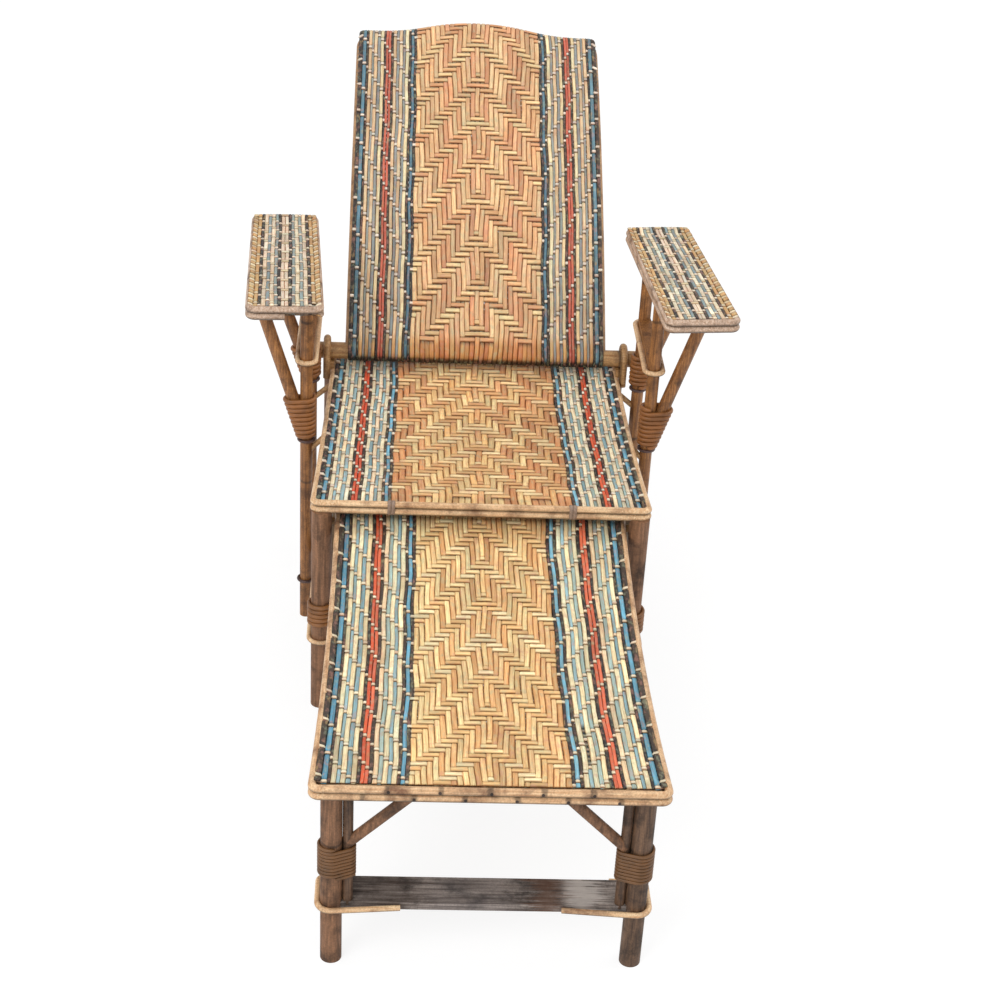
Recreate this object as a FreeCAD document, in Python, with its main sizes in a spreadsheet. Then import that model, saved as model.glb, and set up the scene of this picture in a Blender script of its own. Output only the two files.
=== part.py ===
import FreeCAD, Part
import math
import os
import Sketcher
from FreeCAD import Placement, Rotation, Vector

# A reclining long chair of bent cane with woven panels. The seat stands on four
# legs, the leg rest slides in under it, and the back turns on a round rod and
# leans on a prop whose foot bar drops into notched rails.
# Millimetres, +Z up. The leg rest points along -Y, and left is the -X side.

document = FreeCAD.newDocument("long_chair")
sheet = document.addObject("Spreadsheet::Sheet", "sizes")

DRIVING_SIZES = {
    # Seat: height of its top edge, plan, sag, and the canes round it
    "seat_height": 377,
    "seat_front_width": 520,
    "seat_rear_width": 488,
    "seat_depth": 485,
    "seat_dip": 14,
    "rim_diameter": 11,
    "rim_corner": 10,
    "rim_gap": 0.2,
    "rail_corner": 12,
    "weave_thickness": 5,
    "weave_drop": 2,
    "weave_bite": 0.5,
    "rail_gap": 0.1,
    # Legs under the seat, and what ties them
    "leg_diameter": 31,
    "leg_setback": 7.5,
    "saddle_depth": 3,
    "stretcher_height": 121,
    "stretcher_thickness": 12,
    "loop_diameter": 7,
    "rear_board_thickness": 14,
    "rear_board_height": 42,
    # Leg rest: plan, slope, sag, and the bar that it slides on
    "rest_reach": 594,
    "rest_side_clearance": 3.75,
    "rest_flare": 13.5,
    "rest_side_draw": 4,
    "rest_rear_drop": 35,
    "rest_fall": 37,
    "rest_dip": 20,
    "slide_bar_diameter": 12,
    "slide_bar_inset": 3.25,
    "slide_stop_gap": 0.5,
    "runner_clearance": 0.3,
    "runner_width": 14,
    "runner_depth": 26,
    # Stand of the leg rest: legs, posts, braces and foot board
    "rest_leg_diameter": 29,
    "rest_leg_inset": 30.5,
    "rest_leg_setback": 37,
    "rest_leg_splay": 2,
    "rest_leg_rake": 14,
    "post_diameter": 14,
    "post_gap": 0.2,
    "brace_diameter": 15,
    "brace_foot_height": 190,
    "brace_run": 88,
    "brace_end_drop": 2,
    "board_width": 52,
    "board_thickness": 12,
    "board_top_height": 98,
    "board_setback": 21,
    "edging_diameter": 8,
    "edging_left_run": 92,
    "edging_right_run": 100,
    "edging_back_run": 50,
    "edging_gap": 0.06,
    "nail_diameter": 4.4,
    "nail_depth": 3,
    "nail_spacing": 66,
    # Back: rod, bent frame, crest and prop hinge
    "rod_diameter": 28,
    "rod_overhang": 24,
    "rod_setback": 19,
    "rod_rise": 23,
    "back_angle": 33.2,
    "back_inset": 22.5,
    "back_length": 680,
    "back_bulge": 28,
    "back_corner": 25,
    "crest_height": 30,
    "stile_diameter": 22,
    "hinge_bar_diameter": 12,
    "hinge_bar_up": 225,
    "hinge_bar_sink": 8,
    # Hoops and pads that hold the rod on the seat's sides
    "hoop_diameter": 12,
    "rod_clearance": 0.3,
    "rod_pad_length": 32,
    # Prop, and the notched rails behind the seat
    "prop_diameter": 16,
    "prop_inset": 51.5,
    "prop_length": 243,
    "sleeve_diameter": 22,
    "sleeve_width": 16,
    "pivot_clearance": 0.3,
    "foot_bar_diameter": 16,
    "foot_bar_overhang": 15,
    "rack_inset": 26.5,
    "rack_width": 18,
    "rack_lap": 10,
    "rack_tail": 27,
    "notch_depth": 12,
    "notch_clearance": 0.6,
    "notch_lift": 0.3,
    "notch_count": 3,
    "notch_angle_step": 12,
    "rack_leg_diameter": 24,
    "rack_leg_inset": 20,
    "rack_tie_diameter": 16,
    "rack_tie_height": 120,
    # Arms: woven pads, turned a little in plan, on paired poles
    "pole_clearance": 17,
    "arm_rod_gap": 3.7,
    "arm_height": 615,
    "arm_length": 368,
    "arm_width": 110,
    "arm_flare": 5,
    "arm_corner": 10,
    "arm_skew": 4.4,
    "arm_splay": 1.35,
    "arm_rim_diameter": 11,
    "pad_drop": 1,
    "pad_thickness": 18,
    "pole_diameter": 20,
    "pole_inset": 39,
    "front_pole_ahead": 90,
    "rear_pole_behind": 79,
    "arm_brace_rise": 1,
    "arm_brace_reach": 78,
    "spreader_height": 482,
    "spreader_thickness": 9,
    "spreader_loop_diameter": 8.5,
    "ring_diameter": 5,
    "low_ring_height": 72,
    "spacer_diameter": 9,
    "spacer_fall": 32,
    # Windings of split cane
    "winding_diameter": 7,
    "winding_gap": 0.8,
    "winding_seat": 0.3,
    "front_arm_winding_drop": 34,
    "front_arm_turns": 9,
    "rear_arm_winding_drop": 11,
    "rear_arm_turns": 7,
    "leg_winding_height": 151,
    "leg_turns": 5,
    "rest_winding_height": 138,
    "rest_turns": 6,
}

for row, (alias, value) in enumerate(DRIVING_SIZES.items(), start=1):
    sheet.set(f"A{row}", alias)
    sheet.set(f"B{row}", str(value))
    sheet.setAlias(f"B{row}", alias)
document.recompute()


def size(alias):
    """One driving size, in millimetres or degrees, or a count."""
    return float(sheet.get(alias))


# Ways to make a piece

subparts = []


def subpart(feature, label):
    """Name a finished piece. The label is also its file's name."""
    feature.Label = label
    subparts.append(feature)
    return feature


def bind(feature, **expressions):
    for name, expression in expressions.items():
        feature.setExpression(name, expression)
    return feature


def pole(start, end, diameter, growth=""):
    """A round pole between two points, its radius bound to a size."""
    feature = document.addObject("Part::Cylinder", "pole")
    bind(feature, Radius=f"sizes.{diameter} / 2{growth}")
    feature.Height = (end - start).Length
    feature.Placement = Placement(start, Rotation(Vector(0, 0, 1), end - start))
    return feature


def block(x_range, y_range, z_range):
    """A squared board between three pairs of limits."""
    feature = document.addObject("Part::Box", "block")
    feature.Length = x_range[1] - x_range[0]
    feature.Width = y_range[1] - y_range[0]
    feature.Height = z_range[1] - z_range[0]
    feature.Placement = Placement(Vector(x_range[0], y_range[0], z_range[0]), Rotation())
    return feature


def cut(base, *tools):
    """The base without the room that the tools take."""
    for tool in tools:
        feature = document.addObject("Part::Cut", "cut")
        feature.Base = base
        feature.Tool = tool
        base = feature
    return base


def join(*features):
    feature = document.addObject("Part::MultiFuse", "join")
    feature.Shapes = list(features)
    return feature


def group(features):
    """Like pieces that share one node."""
    feature = document.addObject("Part::Compound", "group")
    feature.Links = features
    return feature


def solid(shape):
    """A plain feature that holds a finished shape."""
    feature = document.addObject("Part::Feature", "solid")
    feature.Shape = shape
    return feature


def line(start, end):
    return Part.makeLine(start, end)


def arc(start, middle, end):
    return Part.Arc(start, middle, end).toShape()


def corner_arc(before, corner, after, radius):
    """The arc that rounds the corner between two straight directions."""
    back = (before - corner).normalize()
    ahead = (after - corner).normalize()
    half = back.getAngle(ahead) / 2
    reach = radius / math.tan(half)
    bisector = (back + ahead).normalize()
    centre = corner + bisector * (radius / math.sin(half))
    return arc(corner + back * reach, centre - bisector * radius, corner + ahead * reach)


def tangent_arc(start, direction, end):
    """The arc, or line, that leaves start along direction and reaches end."""
    chord = end - start
    heading = Vector(direction).normalize()
    across = chord - heading * chord.dot(heading)
    if across.Length < 1e-6:
        return line(start, end)
    across.normalize()
    radius = chord.Length ** 2 / (2 * chord.dot(across))
    centre = start + across * radius
    outward = (start + chord / 2 - centre).normalize()
    return arc(start, centre + outward * radius, end)


def bent(edges, diameter):
    """A cane along tangent lines and arcs, its radius bound to a size."""
    wire = Part.Wire(Part.__sortEdges__(edges))
    spine = solid(wire)
    first = wire.OrderedEdges[0]
    start = wire.OrderedVertexes[0].Point
    from_first = first.valueAt(first.FirstParameter).distanceToPoint(start) < 0.001
    parameter = first.FirstParameter if from_first else first.LastParameter
    section = document.addObject("Part::Circle", "section")
    bind(section, Radius=f"sizes.{diameter} / 2")
    section.Placement = Placement(
        start, Rotation(Vector(0, 0, 1), first.tangentAt(parameter)))
    feature = document.addObject("Part::Sweep", "bent")
    feature.Sections = [section]
    feature.Spine = (spine, [f"Edge{number + 1}" for number in range(len(wire.Edges))])
    feature.Solid = True
    feature.Frenet = False
    return feature


# Places. The origin is on the floor under the middle of the chair's outline,
# and places are set out from the seat's front edge, seat_front behind it

rim = size("rim_diameter")
rod_behind = size("seat_depth") - size("rod_setback")
stile_radius = size("stile_diameter") / 2
stile_length = size("back_length") - stile_radius - size("back_corner")
bulge_radius = ((stile_length / 2) ** 2 + size("back_bulge") ** 2) / (2 * size("back_bulge"))
crest_fall = math.asin(stile_length / 2 / bulge_radius)
back_tilt = math.radians(size("back_angle"))
rearmost = (rod_behind + stile_length * math.cos(back_tilt)
            + (size("back_corner") + size("crest_height")) * math.cos(back_tilt - crest_fall)
            + stile_radius)
seat_front = (size("rest_reach") - rearmost) / 2


def place(x, behind, z):
    """A point given by its distance behind the seat's front edge."""
    return Vector(x, seat_front + behind, z)


def side_name(side):
    return "left" if side < 0 else "right"


def shared_size(alias, value):
    """A worked-out size that pieces are bound to."""
    row = len(DRIVING_SIZES) + 1
    while sheet.getContents(f"A{row}"):
        row += 1
    sheet.set(f"A{row}", alias)
    sheet.set(f"B{row}", str(value))
    sheet.setAlias(f"B{row}", alias)
    document.recompute()
    return value


# The rail under a panel fills the height of the two rim canes beside it
rail = shared_size("rail_diameter", 2 * rim - size("weave_drop") - size("weave_thickness")
                   - size("rail_gap"))
rail_drop = 2 * rim - rail / 2


# Panels: a woven sheet, two rim canes round its sides and front, and a rail
# under it

def panel_cane(front, rear, half_front, half_rear, dip, draw, inset, drop, corner, diameter):
    """A U-shaped cane that follows a panel's sides and front.

    front and rear are the middles of the panel's top edges. Each side is one
    arc that sags by dip and draws in by draw. inset and drop move the cane's
    axis in from the panel's outline and down from its top.
    """
    edges = []
    fronts = []
    front_y = front.y + inset
    for side in (-1, 1):
        start = front + Vector(side * half_front, 0, 0)
        end = rear + Vector(side * half_rear, 0, 0)
        middle = (start + end) / 2 + Vector(-side * draw, 0, -dip)
        shift = Vector(-side * inset, 0, -drop)
        side_edge = arc(start + shift, middle + shift, end + shift)
        curve = side_edge.Curve
        # The side leaves its rounded corner at bend, heading to the rear
        share = (inset + corner) / (rear.y - front.y)
        begin = curve.parameter(start + shift + (end - start) * share)
        bend = curve.value(begin)
        heading = Vector(*curve.tangent(begin)[0])
        tip = bend - heading * ((bend.y - front_y) / heading.y)
        opposite = Vector(-tip.x, tip.y, tip.z)
        half = (bend - tip).getAngle(opposite - tip) / 2
        edges.append(corner_arc(opposite, tip, bend, (bend - tip).Length * math.tan(half)))
        fronts.append(edges[-1].Vertexes[0].Point)
        # It runs on past the rear, where its end is cut square
        last = side_edge.LastParameter + rim / 2 / curve.Radius
        edges.append(arc(bend, curve.value((begin + last) / 2), curve.value(last)))
    edges.append(line(fronts[0], fronts[1]))
    return bent(edges, diameter)


def panel_sheet(front, rear, half_front, half_rear, dip, draw, inset):
    """A panel's woven sheet: its sagging side profile within its plan."""
    middle = (front + rear) / 2 - Vector(0, 0, dip)
    down = Vector(0, 0, -size("weave_thickness"))
    profile = Part.Wire([arc(front, middle, rear), line(rear, rear + down),
                         arc(rear + down, middle + down, front + down),
                         line(front + down, front)])
    across = Vector(4 * half_front, 0, 0)
    strip = Part.Face(profile)
    strip.translate(across * -0.5)
    floor = -size("seat_height")
    edges = []
    for side in (-1, 1):
        start = Vector(side * (half_front - inset), front.y, floor)
        end = Vector(side * (half_rear - inset), rear.y, floor)
        through = (start + end) / 2 + Vector(-side * draw, 0, 0)
        edges.append(arc(start, through, end) if draw > 0 else line(start, end))
    for end in (front, rear):
        half = (half_front if end is front else half_rear) - inset
        edges.append(line(Vector(-half, end.y, floor), Vector(half, end.y, floor)))
    outline = Part.Face(Part.Wire(Part.__sortEdges__(edges)))
    column = outline.extrude(Vector(0, 0, 4 * size("seat_height")))
    feature = document.addObject("Part::MultiCommon", "sheet")
    feature.Shapes = [solid(strip.extrude(across)), solid(column)]
    return feature


def panel(front, rear, half_front, half_rear, dip, draw, rear_bar=None, rear_bar_radius=0):
    """A panel's pieces: its two rims, the rail under them, and the sheet."""
    plan = (front, rear, half_front, half_rear, dip, draw)
    upper = panel_cane(*plan, rim / 2, rim / 2, size("rim_corner"), "rim_diameter")
    lower = panel_cane(*plan, rim / 2, 1.5 * rim + size("rim_gap"), size("rim_corner"),
                       "rim_diameter")
    under = panel_cane(*plan, rim + rail / 2, rail_drop, size("rail_corner"), "rail_diameter")
    inset = rim - size("weave_bite")
    drop = Vector(0, 0, -size("weave_drop"))
    before_front = block((-half_front, half_front), (front.y - rim, front.y + inset),
                         (front.z - 3 * rim, front.z + rim))
    woven = cut(panel_sheet(front + drop, rear + drop, half_front, half_rear, dip, draw, inset),
                before_front, upper, lower)
    past_rear = block((-half_front, half_front), (rear.y, rear.y + 2 * rim),
                      (rear.z - 3 * rim, rear.z + rim))
    canes = [cut(cane, past_rear) for cane in (upper, lower, under)]
    if rear_bar:
        # The upper rim lies over the bar, and the others end at its front
        past_bar = block((-half_front, half_front),
                         (rear.y - 2 * rear_bar_radius, rear.y + rim),
                         (rear.z - 3 * rim, rear.z - rim / 2))
        canes = [cut(canes[0], rear_bar), cut(canes[1], past_bar), cut(canes[2], past_bar)]
    return canes, woven


# Seat

half_seat_front = size("seat_front_width") / 2
half_seat_rear = size("seat_rear_width") / 2
seat_canes, seat_sheet = panel(
    place(0, 0, size("seat_height")),
    place(0, size("seat_depth"), size("seat_height")),
    half_seat_front, half_seat_rear, size("seat_dip"), 0)
seat_rim_upper, seat_rim_lower, seat_rail = seat_canes
subpart(group([seat_rim_upper, seat_rim_lower]), "seat_rims")
subpart(seat_rail, "seat_rail")
subpart(seat_sheet, "seat_weave")


def half_seat(behind):
    """Half the seat's width at a distance behind its front edge."""
    share = behind / size("seat_depth")
    return half_seat_front + (half_seat_rear - half_seat_front) * share


def seat_sag(behind):
    """How far the seat's side has sagged at a distance behind its front."""
    share = behind / size("seat_depth")
    return 4 * size("seat_dip") * share * (1 - share)


# Seat legs, with a saddle cut in each top for the canes that rest on it

leg_x = half_seat_front - rim - rail / 2
leg_top = size("seat_height") - 2 * rim + size("saddle_depth")
front_leg_behind = size("leg_setback")
rear_leg_behind = size("seat_depth") + size("rear_board_thickness") / 2
legs = {}
for name, behind in (("front", front_leg_behind), ("rear", rear_leg_behind)):
    for side in (-1, 1):
        raw = pole(place(side * leg_x, behind, 0), place(side * leg_x, behind, leg_top),
                   "leg_diameter")
        leg = cut(raw, seat_rail, seat_rim_lower)
        legs[name, side] = subpart(leg, f"{name}_leg_{side_name(side)}")

# Rear board between the rear legs. The seat's rails end against it
board_top = size("seat_height") - size("weave_drop") - size("weave_thickness")
rear_board = block((-leg_x, leg_x),
                   (place(0, size("seat_depth"), 0).y,
                    place(0, size("seat_depth") + size("rear_board_thickness"), 0).y),
                   (board_top - size("rear_board_height"), board_top))
subpart(cut(rear_board, legs["rear", -1], legs["rear", 1]), "rear_board")

# Runners that carry the leg rest's slide bar, between the legs. The leg rest
# passes under the seat, so its heights are set out down from the seat's top
rest_rear_z = size("seat_height") - size("rest_rear_drop")
rest_front_z = rest_rear_z - size("rest_fall")
slide_bar_radius = size("slide_bar_diameter") / 2
slide_bar_z = rest_rear_z - 2 * rim + slide_bar_radius
runner_top = slide_bar_z - slide_bar_radius - size("runner_clearance")
for side in (-1, 1):
    inner = side * (leg_x - size("runner_width"))
    raw = block(sorted((inner, side * leg_x)),
                (place(0, front_leg_behind, 0).y, place(0, rear_leg_behind, 0).y),
                (runner_top - size("runner_depth"), runner_top))
    subpart(cut(raw, legs["front", side], legs["rear", side]), f"runner_{side_name(side)}")

# Side stretchers: a flat board between the legs, and a cane loop round both
loop_radius = size("loop_diameter") / 2
loop_z = size("stretcher_height") + size("stretcher_thickness") / 2


def race_track(first, second, reach):
    """A level loop of cane round two upright poles of the same size."""
    along = (second - first).normalize()
    across = along.cross(Vector(0, 0, 1)) * reach
    return [line(first + across, second + across),
            arc(second + across, second + along * reach, second - across),
            line(second - across, first - across),
            arc(first - across, first - along * reach, first + across)]


cane_loops = []
for side in (-1, 1):
    reach = size("leg_diameter") / 2
    raw = block((side * leg_x - reach, side * leg_x + reach),
                (place(0, front_leg_behind, 0).y, place(0, rear_leg_behind, 0).y),
                (size("stretcher_height"),
                 size("stretcher_height") + size("stretcher_thickness")))
    subpart(cut(raw, legs["front", side], legs["rear", side]),
            f"side_stretcher_{side_name(side)}")
    cane_loops.append(bent(
        race_track(place(side * leg_x, front_leg_behind, loop_z),
                   place(side * leg_x, rear_leg_behind, loop_z), reach + loop_radius),
        "loop_diameter"))


# Windings. Each is one unbroken helix of cane round one pole or two

def biarc(start, start_heading, end, end_heading):
    """Two arcs in space that join two points along their headings."""
    gap = end - start
    both = start_heading + end_heading
    spread = 4 - both.dot(both)
    along = gap.dot(both)
    if spread < 1e-9:
        reach = gap.dot(gap) / (2 * along)
    else:
        reach = (-along + math.sqrt(along ** 2 + spread * gap.dot(gap))) / spread
    meeting = (start + start_heading * reach + end - end_heading * reach) / 2
    knee = start + start_heading * reach
    middle_heading = (meeting - knee).normalize()
    return [tangent_arc(start, start_heading, meeting),
            tangent_arc(meeting, middle_heading, end)]


def belt_point(turn, first_axis, first_reach, second_axis, second_reach, foot, pitch):
    """A point on a belt that climbs round two round cores.

    turn counts turns from the foot. Each axis gives the core's middle at a
    height. The belt runs straight, round the second core, straight back and
    round the first.
    """
    z = foot + pitch * turn
    first = first_axis(z)
    second = second_axis(z)
    apart = (second - first).Length
    along = (second - first).normalize()
    across = Vector(-along.y, along.x, 0)
    lean = math.acos(max(-1, min(1, (first_reach - second_reach) / apart)))
    straight = apart * math.sin(lean)
    lengths = [straight, 2 * lean * second_reach, straight,
               (2 * math.pi - 2 * lean) * first_reach]
    walked = (turn % 1) * sum(lengths)

    def on_core(centre, reach, angle):
        return centre + (along * math.cos(angle) + across * math.sin(angle)) * reach

    if walked < lengths[0]:
        share = walked / lengths[0]
        point = (on_core(first, first_reach, -lean) * (1 - share)
                 + on_core(second, second_reach, -lean) * share)
    elif walked < sum(lengths[:2]):
        point = on_core(second, second_reach, -lean + (walked - lengths[0]) / second_reach)
    elif walked < sum(lengths[:3]):
        share = (walked - sum(lengths[:2])) / lengths[2]
        point = (on_core(second, second_reach, lean) * (1 - share)
                 + on_core(first, first_reach, lean) * share)
    else:
        point = on_core(first, first_reach, lean + (walked - sum(lengths[:3])) / first_reach)
    return point, lengths


def winding(first_axis, first_radius, second_axis, second_radius, foot, turns):
    """One unbroken helical tube of cane round one or two cores."""
    wire_radius = size("winding_diameter") / 2
    pitch = size("winding_diameter") + size("winding_gap")
    seat = wire_radius + size("winding_seat")
    belt = (first_axis, first_radius + seat, second_axis, second_radius + seat,
            foot + wire_radius, pitch)

    def at(turn):
        point = belt_point(turn, *belt)[0]
        return Vector(point.x, point.y, foot + wire_radius + pitch * turn)

    step = 1e-4
    stations = []
    for whole in range(int(turns)):
        lengths = belt_point(whole + 0.5, *belt)[1]
        total = sum(lengths)
        shares = [0, lengths[0], lengths[0] + lengths[1] / 2, sum(lengths[:2]),
                  sum(lengths[:3]), sum(lengths[:3]) + lengths[3] / 3,
                  sum(lengths[:3]) + lengths[3] * 2 / 3]
        for before, share in zip([-total] + shares, shares):
            if share - before > 2 * wire_radius / 3:
                stations.append(whole + share / total)
    stations.append(turns)
    points = [at(turn) for turn in stations]
    headings = [(at(turn + step) - at(turn - step if turn > step else turn)).normalize()
                for turn in stations]
    run = size("winding_diameter")
    edges = [line(points[0] - headings[0] * run, points[0])]
    for index in range(len(points) - 1):
        edges.extend(biarc(points[index], headings[index],
                           points[index + 1], headings[index + 1]))
    edges.append(line(points[-1], points[-1] + headings[-1] * run))
    path = Part.Wire(edges)
    section = Part.Wire(Part.makeCircle(wire_radius, points[0] - headings[0] * run, headings[0]))
    samples = [at(number / 24) for number in range(int(turns * 24) + 1)]
    nearest = min(samples[i].distanceToPoint(samples[j])
                  for i in range(len(samples)) for j in range(i + 12, len(samples)))
    print("winding: least gap to itself", round(nearest - 2 * wire_radius, 2), "mm")
    return solid(path.makePipeShell([section], True, False))


def upright(x, behind):
    """The axis of an upright pole, for a winding."""
    return lambda z: place(x, behind, z)


for side in (-1, 1):
    # The second core is inside the leg, so the turns only follow the leg
    subpart(winding(upright(side * leg_x, front_leg_behind), size("leg_diameter") / 2,
                    upright(side * (leg_x - size("winding_seat")), front_leg_behind),
                    size("leg_diameter") / 2 - size("winding_seat"),
                    size("leg_winding_height"), size("leg_turns")),
            f"leg_winding_{side_name(side)}")

# Leg rest. Its slide bar rides on the runners and stops behind the front legs

half_rest_rear = leg_x - size("leg_diameter") / 2 - size("rest_side_clearance")
half_rest_front = half_rest_rear + size("rest_flare")
bar_behind = (front_leg_behind + size("leg_diameter") / 2 + slide_bar_radius
              + size("slide_stop_gap"))
rest_rear_behind = bar_behind + slide_bar_radius
slide_bar = subpart(
    pole(place(-leg_x + size("slide_bar_inset"), bar_behind, slide_bar_z),
         place(leg_x - size("slide_bar_inset"), bar_behind, slide_bar_z),
         "slide_bar_diameter"),
    "slide_bar")
rest_canes, rest_sheet = panel(
    place(0, -size("rest_reach"), rest_front_z),
    place(0, rest_rear_behind, rest_rear_z),
    half_rest_front, half_rest_rear, size("rest_dip"), size("rest_side_draw"), slide_bar,
    slide_bar_radius)
subpart(rest_canes[2], "rest_rail")
subpart(rest_sheet, "rest_weave")
print("leg rest travel", round(rear_leg_behind - size("leg_diameter") / 2 - 1
                               - rest_rear_behind, 1), "mm")


def rest_top(setback):
    """Height of the leg rest's side at a distance behind its front edge."""
    share = setback / (size("rest_reach") + rest_rear_behind)
    return (rest_front_z + size("rest_fall") * share
            - 4 * size("rest_dip") * share * (1 - share))


# Nails in the front of the rims, flush with the cane
nails = []
for row_z, shift in ((rim / 2, 0), (1.5 * rim + size("rim_gap"), 0.5)):
    for step in (-2, -1, 0, 1, 2):
        head = place((step + shift) * size("nail_spacing"), -size("rest_reach"),
                     rest_front_z - row_z)
        nails.append(pole(head, head + Vector(0, size("nail_depth"), 0), "nail_diameter"))
subpart(group(nails), "rest_nails")
subpart(cut(rest_canes[0], *nails[:5]), "rest_rim_upper")
subpart(cut(rest_canes[1], *nails[5:]), "rest_rim_lower")

# Foot board, and the legs that carry it
rest_leg_radius = size("rest_leg_diameter") / 2
leg_high = rest_top(size("rest_leg_setback")) - 2 * rim + size("saddle_depth")
board_mid = size("board_top_height") - size("board_thickness") / 2
post_offset = rest_leg_radius + size("post_gap") + size("post_diameter") / 2


def rest_leg_point(side, z, inward=0):
    """The middle of a leg rest's leg, or of the post beside it, at a height."""
    share = z / leg_high
    x = half_rest_front - size("rest_leg_inset") - size("rest_leg_splay") * (1 - share)
    behind = (-size("rest_reach") + size("rest_leg_setback")
              - size("rest_leg_rake") * (1 - share))
    return place(side * (x - inward), behind, z)


below_floor = block((-half_seat_front, half_seat_front),
                    (place(0, -size("rest_reach"), 0).y, place(0, 0, 0).y),
                    (-size("leg_diameter"), 0))
board_front = -size("rest_reach") + size("board_setback")
raw_board = block((-rest_leg_point(1, board_mid).x, rest_leg_point(1, board_mid).x),
                  (place(0, board_front, 0).y,
                   place(0, board_front + size("board_width"), 0).y),
                  (size("board_top_height") - size("board_thickness"),
                   size("board_top_height")))
rest_legs = {}
rest_posts = {}
for side in (-1, 1):
    raw = pole(rest_leg_point(side, -size("rest_leg_splay") * 4), rest_leg_point(side, leg_high),
               "rest_leg_diameter")
    leg = cut(raw, below_floor, rest_canes[2])
    rest_legs[side] = subpart(leg, f"rest_leg_{side_name(side)}")
foot_board = subpart(cut(raw_board, rest_legs[-1], rest_legs[1]), "foot_board")
for side in (-1, 1):
    low = rest_leg_point(side, size("board_top_height") - size("board_thickness") / 2, post_offset)
    high = rest_leg_point(side, rest_top(size("rest_leg_setback")) - size("weave_drop")
                          - size("weave_thickness") / 2, post_offset)
    rest_posts[side] = cut(pole(low, high, "post_diameter"), foot_board, rest_sheet)
subpart(group([rest_posts[-1], rest_posts[1]]), "rest_posts")
front_rail_behind = -size("rest_reach") + rim + rail / 2
braces = []
for side in (-1, 1):
    low = rest_leg_point(side, size("brace_foot_height"), post_offset)
    # The end stops just under the rail's middle, so no sliver is left past it
    high = place(low.x - side * size("brace_run"), front_rail_behind,
                 rest_front_z - rail_drop - size("brace_end_drop"))
    braces.append(cut(pole(low, high, "brace_diameter"), rest_posts[side], rest_canes[2]))
subpart(group(braces), "rest_braces")
for side in (-1, 1):
    subpart(winding(lambda z, side=side: rest_leg_point(side, z), rest_leg_radius,
                    lambda z, side=side: rest_leg_point(side, z, post_offset),
                    size("post_diameter") / 2,
                    size("rest_winding_height"), size("rest_turns")),
            f"rest_winding_{side_name(side)}")

# Cane edging along the foot board's front, round each leg and along the back.
# It is broken off in the middle of the front
edging_radius = size("edging_diameter") / 2
edgings = []
for side, run in ((-1, size("edging_left_run")), (1, size("edging_right_run"))):
    centre = rest_leg_point(side, board_mid)
    reach = rest_leg_radius + edging_radius + size("edging_gap")
    free_end = Vector(centre.x - side * run, place(0, board_front, 0).y - edging_radius,
                      board_mid)
    apart = free_end - centre
    swing = math.acos(reach / apart.Length)
    bearing = math.atan2(apart.y, apart.x) + side * swing
    touch = centre + Vector(math.cos(bearing), math.sin(bearing), 0) * reach
    outermost = centre + Vector(side * reach, 0, 0)
    middle_bearing = (bearing + (0 if side > 0 else -math.pi)) / 2
    middle = centre + Vector(math.cos(middle_bearing), math.sin(middle_bearing), 0) * reach
    back_y = place(0, board_front + size("board_width"), 0).y + edging_radius
    back_corner = Vector(outermost.x, back_y, board_mid)
    back_end = back_corner - Vector(side * size("edging_back_run"), 0, 0)
    rounding = corner_arc(outermost, back_corner, back_end, reach / 2)
    edgings.append(bent([line(free_end, touch), arc(touch, middle, outermost),
                         line(outermost, rounding.Vertexes[0].Point), rounding,
                         line(rounding.Vertexes[1].Point, back_end)], "edging_diameter"))
subpart(group(edgings), "board_edging")

# Back. It is set out from the rod's axis: up is along the back from the rod,
# and out is square to it, towards the sitter

half_back = half_seat_rear - size("back_inset")
rod_z = size("seat_height") + size("rod_rise")
pivot = place(0, rod_behind, rod_z)
back_place = Placement(pivot, Rotation(Vector(1, 0, 0), size("back_angle")))


def on_back(x, up, out):
    return back_place.multVec(Vector(x, up, out))


def bulge(up, offset=0):
    """How far out the stile's axis stands, or a curve beside it."""
    return (size("back_bulge") - bulge_radius
            + math.sqrt((bulge_radius + offset) ** 2 - (up - stile_length / 2) ** 2))


hoop_x = half_seat(rod_behind - size("rod_diameter")) + size("hoop_diameter") / 2
rod_half = hoop_x + size("rod_overhang")
rod = subpart(pole(pivot - Vector(rod_half, 0, 0), pivot + Vector(rod_half, 0, 0),
                   "rod_diameter"), "back_rod")
bar_up = size("hinge_bar_up")
bar_out = bulge(bar_up) - size("hinge_bar_sink")
hinge_bar = subpart(pole(on_back(-half_back, bar_up, bar_out),
                         on_back(half_back, bar_up, bar_out), "hinge_bar_diameter"),
                    "prop_hinge_bar")


def crest(half, level, corner, lift):
    """The top of the back: rounded corners and a crest of three arcs.

    lift turns a place across the back and above its stiles into a point.
    """
    span = half - corner
    rise = size("crest_height")
    radius = ((span / 2) ** 2 + (rise / 2) ** 2) / rise
    half_swing = math.asin(span / 2 / radius) / 2
    knee_x = span - radius * math.sin(half_swing)
    knee_rise = radius * (1 - math.cos(half_swing))
    corner_point = corner * (1 - math.sqrt(0.5))
    edges = []
    for side in (-1, 1):
        edges.append(arc(lift(side * half, level - corner),
                         lift(side * (half - corner_point), level - corner_point),
                         lift(side * span, level)))
        edges.append(arc(lift(side * span, level),
                         lift(side * knee_x, level + knee_rise),
                         lift(side * span / 2, level + rise / 2)))
    knee = radius * math.sin(half_swing)
    edges.append(arc(lift(-span / 2, level + rise / 2), lift(0, level + rise),
                     lift(span / 2, level + rise / 2)))
    return edges


def over_stiles(x, above):
    return on_back(x, stile_length + above * math.cos(crest_fall),
                   -above * math.sin(crest_fall))


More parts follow.
